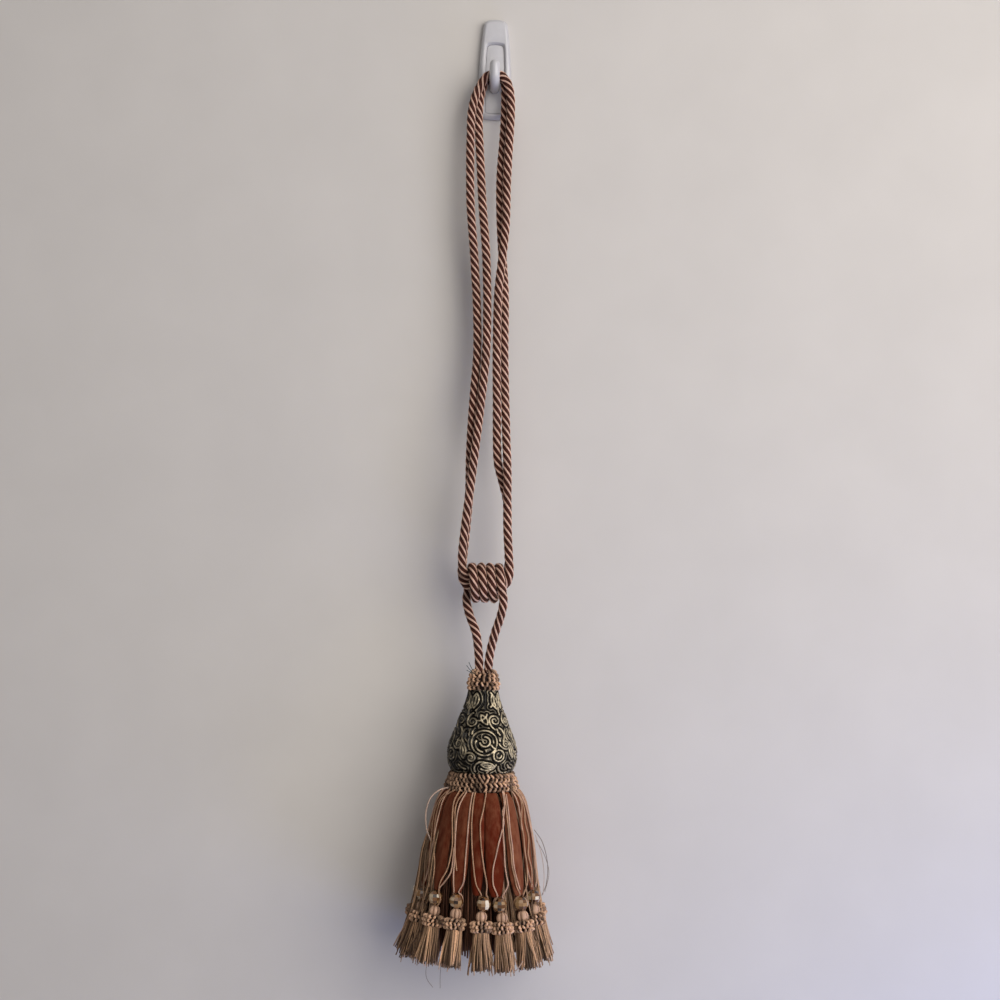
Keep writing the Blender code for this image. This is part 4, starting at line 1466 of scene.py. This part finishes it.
def cord_route(unit, side, rng):
    """Down one side of a petal and past its bead to the top of the small tassel."""
    run = CORD_RUNS.get((unit.number, side))
    if run:
        lift = RUN_LIFT + CROSSING_LIFT * side
        route = [cord_place(degrees, height, lift) for degrees, height in run]
    else:
        route = edge_run(unit, side, rng)
    for below, aside, outward in ROUND_BEAD if unit.number in ROUND_BEAD_UNITS else BEHIND_BEAD:
        out = BEAD_OUT - set_in(unit.bead) + outward
        x, y = pressed(unit.bead + side * aside / BEAD_OUT, out, REACH_BACK)
        route.append((x, y, BEAD_HEIGHT - unit.drop - below))
    return route


def lay_gimp(name, route, diameter, finish):
    section = laid_section(diameter, CORD_PLIES, CORD_COLUMNS, 0.5)
    path, _ = evenly(placed(smooth_curve(route, 6), TASSEL), CORD_STEP * MM)
    as_piece(name, laid_cord(name, path, section, CORD_LEAD * MM), finish)


def make_edge_cords(settings):
    rng = random.Random(31)
    diameter = settings.skirt.cord_diameter
    # Each cord's crest colour is a painted highlight and its flank colour is painted shade.
    finishes = (
        gimp_finish("rose_gimp_cord", "#d2ac96", "#a8826a"),
        gimp_finish("tan_gimp_cord", "#be9678", "#946e54"),
    )
    for unit in units():
        left, right = cord_route(unit, -1, rng), cord_route(unit, 1, rng)
        name = f"edge_cord_{unit.number:02d}"
        lay_gimp(name, left + right[::-1], diameter, finishes[unit.number % 2])
    for number, run in enumerate(SPARE_RUNS, start=1):
        route = [cord_place(degrees, height, SPARE_LIFT) for degrees, height in run]
        lay_gimp(f"spare_cord_{number}", route, diameter, finishes[number % 2])


# Beads.

BEAD_CUTS = (10, 7)  # facets round, and rows of them
BEAD_TURN = -92.0
# Facets are painted these tones as painted reflections and glints.
FACET_TONES = (0.0, 0.2, 0.3, 0.4, 0.55)
LEFT_REFLECTION_TONES = (0.5, 0.7, 0.85)
PAINTED_GLINT_TONES = (0.25, 0.6, 1.0)
STRING_HALF_TALL = 6.0
STRING_RADIUS = 1.9


def face_place(face):
    """Where a face is, to 10 micrometres: the operators give their faces in no fixed order."""
    return tuple(round(value, 5) for value in face.calc_center_median())


def facet_tones(normal):
    """How light a facet is painted: painted reflections, paler on the left, and painted glints where
    it faces the window.
    """
    if 0.2 < normal.x < 0.7 and abs(normal.z) < 0.5:
        return PAINTED_GLINT_TONES
    return LEFT_REFLECTION_TONES if normal.x < -0.5 else FACET_TONES


def make_beads():
    glass = cut_glass()
    rng = random.Random(47)
    strings = []
    for unit in units():
        node = f"bead_{unit.number:02d}"
        low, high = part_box(node)
        frame = Matrix.Translation((low + high) / 2) @ TASSEL.to_3x3().to_4x4()
        mesh = bmesh.new()
        cuts, rows = BEAD_CUTS
        bmesh.ops.create_uvsphere(mesh, u_segments=cuts, v_segments=rows, radius=BEAD_RADIUS * MM)
        turn = Matrix.Rotation(math.radians(BEAD_TURN + rng.uniform(-3.0, 3.0)), 3, "Z")
        bmesh.ops.rotate(mesh, verts=mesh.verts, cent=(0, 0, 0), matrix=turn)
        facet = mesh.faces.layers.float.new("facet")
        mesh.normal_update()
        for face in sorted(mesh.faces, key=face_place):
            face[facet] = rng.choice(facet_tones(face.normal))
        bmesh.ops.transform(mesh, matrix=frame, verts=mesh.verts)
        name = f"cut_{node}"
        data = mesh_of(name, mesh)
        data.shade_flat()
        as_piece(name, data, glass, node)
        ends = [(0.0, 0.0, up * STRING_HALF_TALL) for up in (-1.0, 0.0, 1.0)]
        strings.append(placed(ends, frame))
    string = yarn_finish("bead_string", tones_of("#4a2616", "#8a5c42"))
    yarns("bead_strings", [(strings, STRING_RADIUS, string)], 6)


# Small tassels.

RUFF_ROWS = (  # radius, height, loops round
    (7.2, -9.8, 13),
    (7.6, -13.0, 14),
    (7.3, -16.2, 13),
)
RUFF_LOOP = (2.5, 1.9)
# A ring of near-black yarn inside each ruff, as painted shade between its loops.
CORE_RADIUS = 5.6
CORE_HEIGHTS = (-10.4, -13.4, -16.4)
CORE_YARN = 2.0
FRINGE_HEM = -49.0
FRINGE_LOCKS = 9
OUTER_YARNS = 50
OUTER_YARN = 0.7  # against the fringe yarn's own radius
INNER_YARNS = 80
BALL_LINE = (  # radius, height
    (0.6, 0.9),
    (2.4, 0.3),
    (4.5, -1.0),
    (5.6, -3.4),
    (5.5, -5.9),
    (4.4, -7.9),
    (2.6, -9.4),
)
BALL_LOBES = 5
BALL_COLUMNS = 56


def small_tassel_frame(unit):
    """The frame of a small tassel: under its bead, its foot swung outwards."""
    x, y = pressed(unit.tassel, SMALL_TASSEL_OUT - set_in(unit.tassel), REACH_BACK)
    outward = Vector((math.cos(unit.tassel), min(math.sin(unit.tassel), 0.0), 0.0))
    swing = Vector((0.0, 0.0, 1.0)).cross(outward) * -SMALL_TASSEL_LEAN
    top = BEAD_HEIGHT - unit.drop - SMALL_TASSEL_BELOW_BEAD
    axis = swing.normalized() if swing.length else "X"
    place = Matrix.Translation(Vector((x, y, top)) * MM)
    return TASSEL @ place @ Matrix.Rotation(swing.length, 4, axis)


def round_route(rows, angle):
    """Rows of radius, height and turn, as a route round an axis."""
    return [
        (radius * math.cos(angle + turn), radius * math.sin(angle + turn), height)
        for radius, height, turn in rows
    ]


def make_ball(name, matrix, turn, finish):
    """Satin yarn gathered into lobes. Its sunk attribute is 0 on the lobes, where its finish paints a
    highlight, and 1 in the creases between them, where it paints shade.
    """
    mesh = bmesh.new()
    sunk = mesh.verts.layers.float.new("sunk")
    rings = []
    for radius, height, _ in smooth_curve([(*row, 0.0) for row in BALL_LINE], 3):
        ring = []
        for step in range(BALL_COLUMNS):
            angle = math.tau * step / BALL_COLUMNS
            crease = BALL_LOBES / 2 * (angle + 0.16 * math.sin(3.0 * angle + turn))
            swell = math.sqrt(abs(math.cos(crease)))
            out = 0.95 * radius * (0.7 + 0.3 * swell + 0.03 * math.sin(2.0 * angle + turn))
            place = Vector((out * math.cos(angle), out * math.sin(angle), height))
            vert = mesh.verts.new(matrix @ (place * MM))
            vert[sunk] = 1.0 - swell
            ring.append(vert)
        rings.append(ring)
    skinned(mesh, rings)
    as_piece(name, smoothed(mesh_of(name, mesh), 80.0), finish)


def outer_strand(angle, lock, rng):
    """From behind the ruff over the fringe to the hem, with the rest of its lock."""
    spread, swirl, hem = lock
    spread += rng.uniform(-0.9, 1.1)
    swirl += rng.uniform(-0.25, 0.25)
    hem += rng.choice((-3.4, -1.6, -0.4, 0.8, 2.0, 3.2)) + rng.uniform(-0.8, 0.8)
    bow = rng.uniform(-0.5, 0.6)
    rows = (
        (5.6, -13.5, 0.0),
        (6.8, -19.0, 0.0),
        (7.2 + 0.4 * bow, -24.0, 0.15 * swirl),
        (7.7 + 0.3 * spread + bow, -31.0, 0.4 * swirl),
        (8.3 + 0.6 * spread + bow, -38.5, 0.75 * swirl),
        (8.9 + spread, FRINGE_HEM + hem, swirl),
    )
    return smooth_curve(round_route(rows, angle), 2)


def inner_strand(angle, depth, rng):
    """From behind the ruff straight down, inside the fringe."""
    swirl = rng.uniform(-0.35, 0.35)
    rows = (
        (5.6 * depth, -14.0, 0.0),
        (6.4 * depth, -22.0, 0.2 * swirl),
        (7.4 * depth, -31.0, 0.6 * swirl),
        (8.3 * depth, -40.0, swirl),
        (9.2 * depth, FRINGE_HEM + rng.uniform(-2.0, 1.6), swirl),
    )
    return round_route(rows, angle)


def make_fringe(unit, matrix, radius, outside, inside, locks, rng):
    """The cut yarns of a small tassel: the outer ones hang in locks."""
    outers = []
    for step in range(OUTER_YARNS):
        lock = locks[step * len(locks) // OUTER_YARNS]
        turn = math.tau * (step + rng.uniform(-0.4, 0.4)) / OUTER_YARNS
        outers.append(placed(outer_strand(turn, lock, rng), matrix))
    inners = []
    for _ in range(INNER_YARNS):
        depth = math.sqrt(rng.uniform(0.02, 0.85))
        inners.append(placed(inner_strand(rng.uniform(0.0, math.tau), depth, rng), matrix))
    groups = [(outers, OUTER_YARN * radius, outside), (inners, radius, inside)]
    yarns(f"small_tassel_{unit.number:02d}", groups, node=f"mini_tassel_{unit.number:02d}")


def make_small_tassels(settings):
    skirt = settings.skirt
    # The ball's crest colour is a painted highlight on its lobes; its flank and darkest colours are
    # painted shade in its creases.
    satin = gimp_finish("rose_satin_yarn", "#c4a088", "#664636")
    tones = shades(skirt.fringe, 0.2, 0.82, 1.2, 1.8, 0.9, 0.36, 1.5)
    outside = yarn_finish("tan_fringe_yarn", tones)
    # The inner yarns are the fringe colour at 0.12 to 0.55: painted shade inside the fringe.
    inside = yarn_finish("fringe_yarn_painted_shade", shades(skirt.fringe, 0.12, 0.3, 0.55))
    loops = yarn_finish("pale_loop_yarn", knot_tones(skirt))
    # The core's near-black yarn is painted shade in the gaps between the ruff's loops.
    dark = yarn_finish("core_painted_shade", tones_of("#120705", "#1e0d08"))
    around_core = [(CORE_RADIUS, turn) for turn in np.linspace(0.0, math.tau, 17)]
    core = [round_route([(r, height, t) for r, t in around_core], 0.0) for height in CORE_HEIGHTS]
    for unit in units():
        rng = random.Random(100 + unit.number)
        matrix = small_tassel_frame(unit)
        locks = [
            (rng.uniform(-1.8, 2.8), rng.uniform(-0.55, 0.55), rng.uniform(-2.2, 2.2))
            for _ in range(FRINGE_LOCKS)
        ]
        make_ball(f"small_ball_{unit.number:02d}", matrix, rng.uniform(0.0, math.tau), satin)
        make_fringe(unit, matrix, skirt.yarn_radius / MM, outside, inside, locks, rng)
        routes = looped_rows(RUFF_ROWS, RUFF_LOOP, lambda *_: rng.uniform(-0.6, 0.6), rng)
        groups = [
            ([placed(route, matrix) for route in routes], LOOP_YARN, loops),
            ([placed(route, matrix) for route in core], CORE_YARN, dark),
        ]
        yarns(f"small_ruff_{unit.number:02d}", groups, 6)


# Loose yarns and stray threads.

HANKS = (  # middle angle, spread, yarns, how far the hem swings out, lift at the top
    (-166.0, 20.0, 56, 75.0, -20.0),
    (-61.0, 4.0, 18, 60.0, -11.0),
    (150.0, 24.0, 44, 68.0, -5.0),
    (-12.0, 22.0, 34, 67.0, -1.0),
    (40.0, 24.0, 40, 65.0, -4.0),
    (90.0, 40.0, 60, 58.0, -4.0),
)
HANK_LINE = (  # share of the way out to the hem, height
    (0.0, -90.5),
    (0.08, -95.0),
    (0.19, -103.0),
    (0.30, -116.0),
    (0.39, -131.0),
    (0.47, -149.0),
    (0.53, -167.0),
    (0.60, -184.0),
    (0.68, -199.0),
    (0.79, -215.0),
    (0.90, -229.0),
    (1.0, -240.0),
)
HANK_TOP_RADIUS = 34.0
HANK_YARN = 0.58
HANK_REACH_BACK = 50.0
STRAY_TONES = {
    "whitish_cord": ("#b9a092", "#cbb4a6"),
    "umber_thread": ("#5b463c", "#76614f"),
    "dark_teal_thread": ("#1d3a3a", "#2b4a48"),
}
STRAYS = (  # which yarn, its radius, its route in the tassel's frame
    # Bows out from the collar on the left.
    ("whitish_cord", 0.75, ((-30.0, -16.0, -90.0), (-39.0, -19.0, -92.5), (-46.5, -19.5, -99.0),
                            (-50.6, -18.0, -110.0), (-51.2, -17.0, -120.0), (-49.6, -18.0, -130.0),
                            (-45.4, -23.0, -139.0), (-43.6, -27.0, -152.0))),
    # Hang below the fringe.
    ("umber_thread", 0.2, ((-44.0, -44.0, -236.0), (-46.6, -46.0, -250.0), (-45.4, -47.0, -257.0),
                           (-40.0, -48.0, -264.0))),
    ("umber_thread", 0.2, ((-32.0, -56.0, -236.0), (-33.2, -57.6, -250.0), (-33.0, -58.0, -262.0))),
    ("whitish_cord", 0.45, ((32.0, -58.0, -247.0), (36.0, -61.0, -243.0), (40.4, -62.0, -236.0))),
    # Bow out beside the petals on the right.
    ("umber_thread", 0.28, ((50.0, -14.0, -128.0), (58.0, -12.0, -140.0), (63.0, -12.0, -160.0),
                            (62.0, -12.0, -178.0), (58.0, -14.0, -188.0))),
    ("umber_thread", 0.22, ((52.0, -10.0, -138.0), (60.0, -8.0, -152.0), (64.5, -8.0, -168.0),
                            (61.0, -8.0, -186.0))),
    ("whitish_cord", 0.3, ((51.0, -18.0, -132.0), (57.0, -18.0, -150.0), (59.6, -18.0, -168.0),
                           (59.0, -20.0, -186.0))),
    # Stand out of the ruff on top of the head.
    ("dark_teal_thread", 0.3, ((-6.0, -9.0, 15.0), (-11.0, -11.0, 20.0), (-14.0, -12.0, 26.0))),
    ("dark_teal_thread", 0.3, ((-7.0, -9.0, 14.0), (-12.0, -12.0, 18.0), (-16.0, -13.0, 23.0))),
    ("dark_teal_thread", 0.3, ((-8.0, -9.0, 13.0), (-13.0, -12.0, 17.0), (-16.0, -12.0, 18.5))),
)


def hank_yarn(middle, spread, hem_out, top_lift, rng):
    """One yarn of a hank, from under the collar over the petals to the hem."""
    start = math.radians(middle + spread * rng.uniform(-1.0, 1.0))
    drift = rng.uniform(-0.2, 0.2)
    lift = rng.uniform(-2.2, 1.6)
    wave, sway = rng.uniform(0.0, math.tau), rng.uniform(0.03, 0.16)
    out_more, hem = rng.uniform(-5.0, 3.5), rng.uniform(-4.0, 4.0)
    route = []
    for share, height in HANK_LINE:
        out = HANK_TOP_RADIUS + (hem_out + out_more - HANK_TOP_RADIUS) * share
        out += lift * min(1.0, 4.0 * share) + top_lift * max(0.0, 1.0 - 2.2 * share)
        turned = start + drift * share + sway * math.sin(wave + 8.0 * share)
        x, y = pressed(turned, out, HANK_REACH_BACK)
        route.append((x, y, height + hem * share * share))
    return placed(smooth_curve(route, 2), TASSEL)


def make_loose_yarns(settings):
    rng = random.Random(61)
    tones = shades(settings.skirt.fringe, 0.2, 0.5, 0.95, 0.3, 1.4, 0.65)
    tan = yarn_finish("loose_tan_yarn", tones)
    for number, (middle, spread, count, hem_out, top_lift) in enumerate(HANKS, start=1):
        routes = [hank_yarn(middle, spread, hem_out, top_lift, rng) for _ in range(count)]
        yarns(f"loose_hank_{number}", [(routes, HANK_YARN, tan)])
    finishes = {name: yarn_finish(name, tones_of(*codes)) for name, codes in STRAY_TONES.items()}
    for number, (which, radius, route) in enumerate(STRAYS, start=1):
        path = placed(smooth_curve(route, 8), TASSEL)
        yarns(f"stray_{number:02d}", [([path], radius, finishes[which])], 6)


# The add-on.


class TIEBACK_OT_stage(bpy.types.Operator):
    """Make the camera, the wall, the floor and the soft lights"""

    bl_idname = "tieback.stage"
    bl_label = "Stage"

    def execute(self, context):
        make_stage(context.scene.tieback.stage)
        return {"FINISHED"}


class TIEBACK_OT_ropes(bpy.types.Operator):
    """Lay the loop rope over the hook and tie the neck rope round it"""

    bl_idname = "tieback.ropes"
    bl_label = "Ropes"

    def execute(self, context):
        make_ropes(context.scene.tieback)
        return {"FINISHED"}


class TIEBACK_OT_hook(bpy.types.Operator):
    """Mould the hook's wall plate and its front with the arm"""

    bl_idname = "tieback.hook"
    bl_label = "Hook"

    def execute(self, context):
        make_hook()
        return {"FINISHED"}


class TIEBACK_OT_head(bpy.types.Operator):
    """Turn the head and raise its scrolls"""

    bl_idname = "tieback.head"
    bl_label = "Carved Head"

    def execute(self, context):
        make_head(context.scene.tieback)
        return {"FINISHED"}


class TIEBACK_OT_ruffs(bpy.types.Operator):
    """Loop the collar and the ruff on top of the head"""

    bl_idname = "tieback.ruffs"
    bl_label = "Ruffs"

    def execute(self, context):
        make_ruffs(context.scene.tieback)
        return {"FINISHED"}


class TIEBACK_OT_under_skirt(bpy.types.Operator):
    """Hang the dark yarns inside the petals"""

    bl_idname = "tieback.under_skirt"
    bl_label = "Under Skirt"

    def execute(self, context):
        make_under_skirt()
        return {"FINISHED"}


class TIEBACK_OT_petals(bpy.types.Operator):
    """Cut and hang the velvet petals"""

    bl_idname = "tieback.petals"
    bl_label = "Petals"

    def execute(self, context):
        make_petals(context.scene.tieback)
        return {"FINISHED"}


class TIEBACK_OT_edge_cords(bpy.types.Operator):
    """Lay a thin cord down both sides of each petal and round its bead"""

    bl_idname = "tieback.edge_cords"
    bl_label = "Edge Cords"

    def execute(self, context):
        make_edge_cords(context.scene.tieback)
        return {"FINISHED"}


class TIEBACK_OT_beads(bpy.types.Operator):
    """Cut the glass beads"""

    bl_idname = "tieback.beads"
    bl_label = "Beads"

    def execute(self, context):
        make_beads()
        return {"FINISHED"}


class TIEBACK_OT_loose_yarns(bpy.types.Operator):
    """Hang the loose hanks at the sides and the stray threads"""

    bl_idname = "tieback.loose_yarns"
    bl_label = "Loose Yarns"

    def execute(self, context):
        make_loose_yarns(context.scene.tieback)
        return {"FINISHED"}


class TIEBACK_OT_small_tassels(bpy.types.Operator):
    """Tie the small tassels, each with its ruff"""

    bl_idname = "tieback.small_tassels"
    bl_label = "Small Tassels"

    def execute(self, context):
        make_small_tassels(context.scene.tieback)
        return {"FINISHED"}


STEPS = (
    TIEBACK_OT_stage,
    TIEBACK_OT_ropes,
    TIEBACK_OT_hook,
    TIEBACK_OT_head,
    TIEBACK_OT_ruffs,
    TIEBACK_OT_under_skirt,
    TIEBACK_OT_petals,
    TIEBACK_OT_edge_cords,
    TIEBACK_OT_beads,
    TIEBACK_OT_small_tassels,
    TIEBACK_OT_loose_yarns,
)


class TIEBACK_PT_panel(bpy.types.Panel):
    """Lists the steps that make the tieback"""

    bl_idname = "TIEBACK_PT_panel"
    bl_label = "Curtain Tieback"
    bl_space_type = "VIEW_3D"
    bl_region_type = "UI"
    bl_category = "Tieback"

    def draw(self, context):
        for step in STEPS:
            self.layout.operator(step.bl_idname)
        settings = context.scene.tieback
        for group in (settings.rope, settings.head, settings.skirt, settings.stage):
            box = self.layout.box()
            for key in group.bl_rna.properties.keys():
                if key not in ("rna_type", "name"):
                    box.prop(group, key)


GROUPS = (
    TIEBACK_PG_rope,
    TIEBACK_PG_head,
    TIEBACK_PG_skirt,
    TIEBACK_PG_stage,
    TIEBACK_PG_settings,
)


def register():
    for each in (*GROUPS, *STEPS, TIEBACK_PT_panel):
        bpy.utils.register_class(each)
    bpy.types.Scene.tieback = bpy.props.PointerProperty(type=TIEBACK_PG_settings)


def unregister():
    del bpy.types.Scene.tieback
    for each in reversed((*GROUPS, *STEPS, TIEBACK_PT_panel)):
        bpy.utils.unregister_class(each)


def main():
    register()
    for step in STEPS:
        group, action = step.bl_idname.split(".")
        getattr(getattr(bpy.ops, group), action)()


if __name__ == "__main__":
    main()
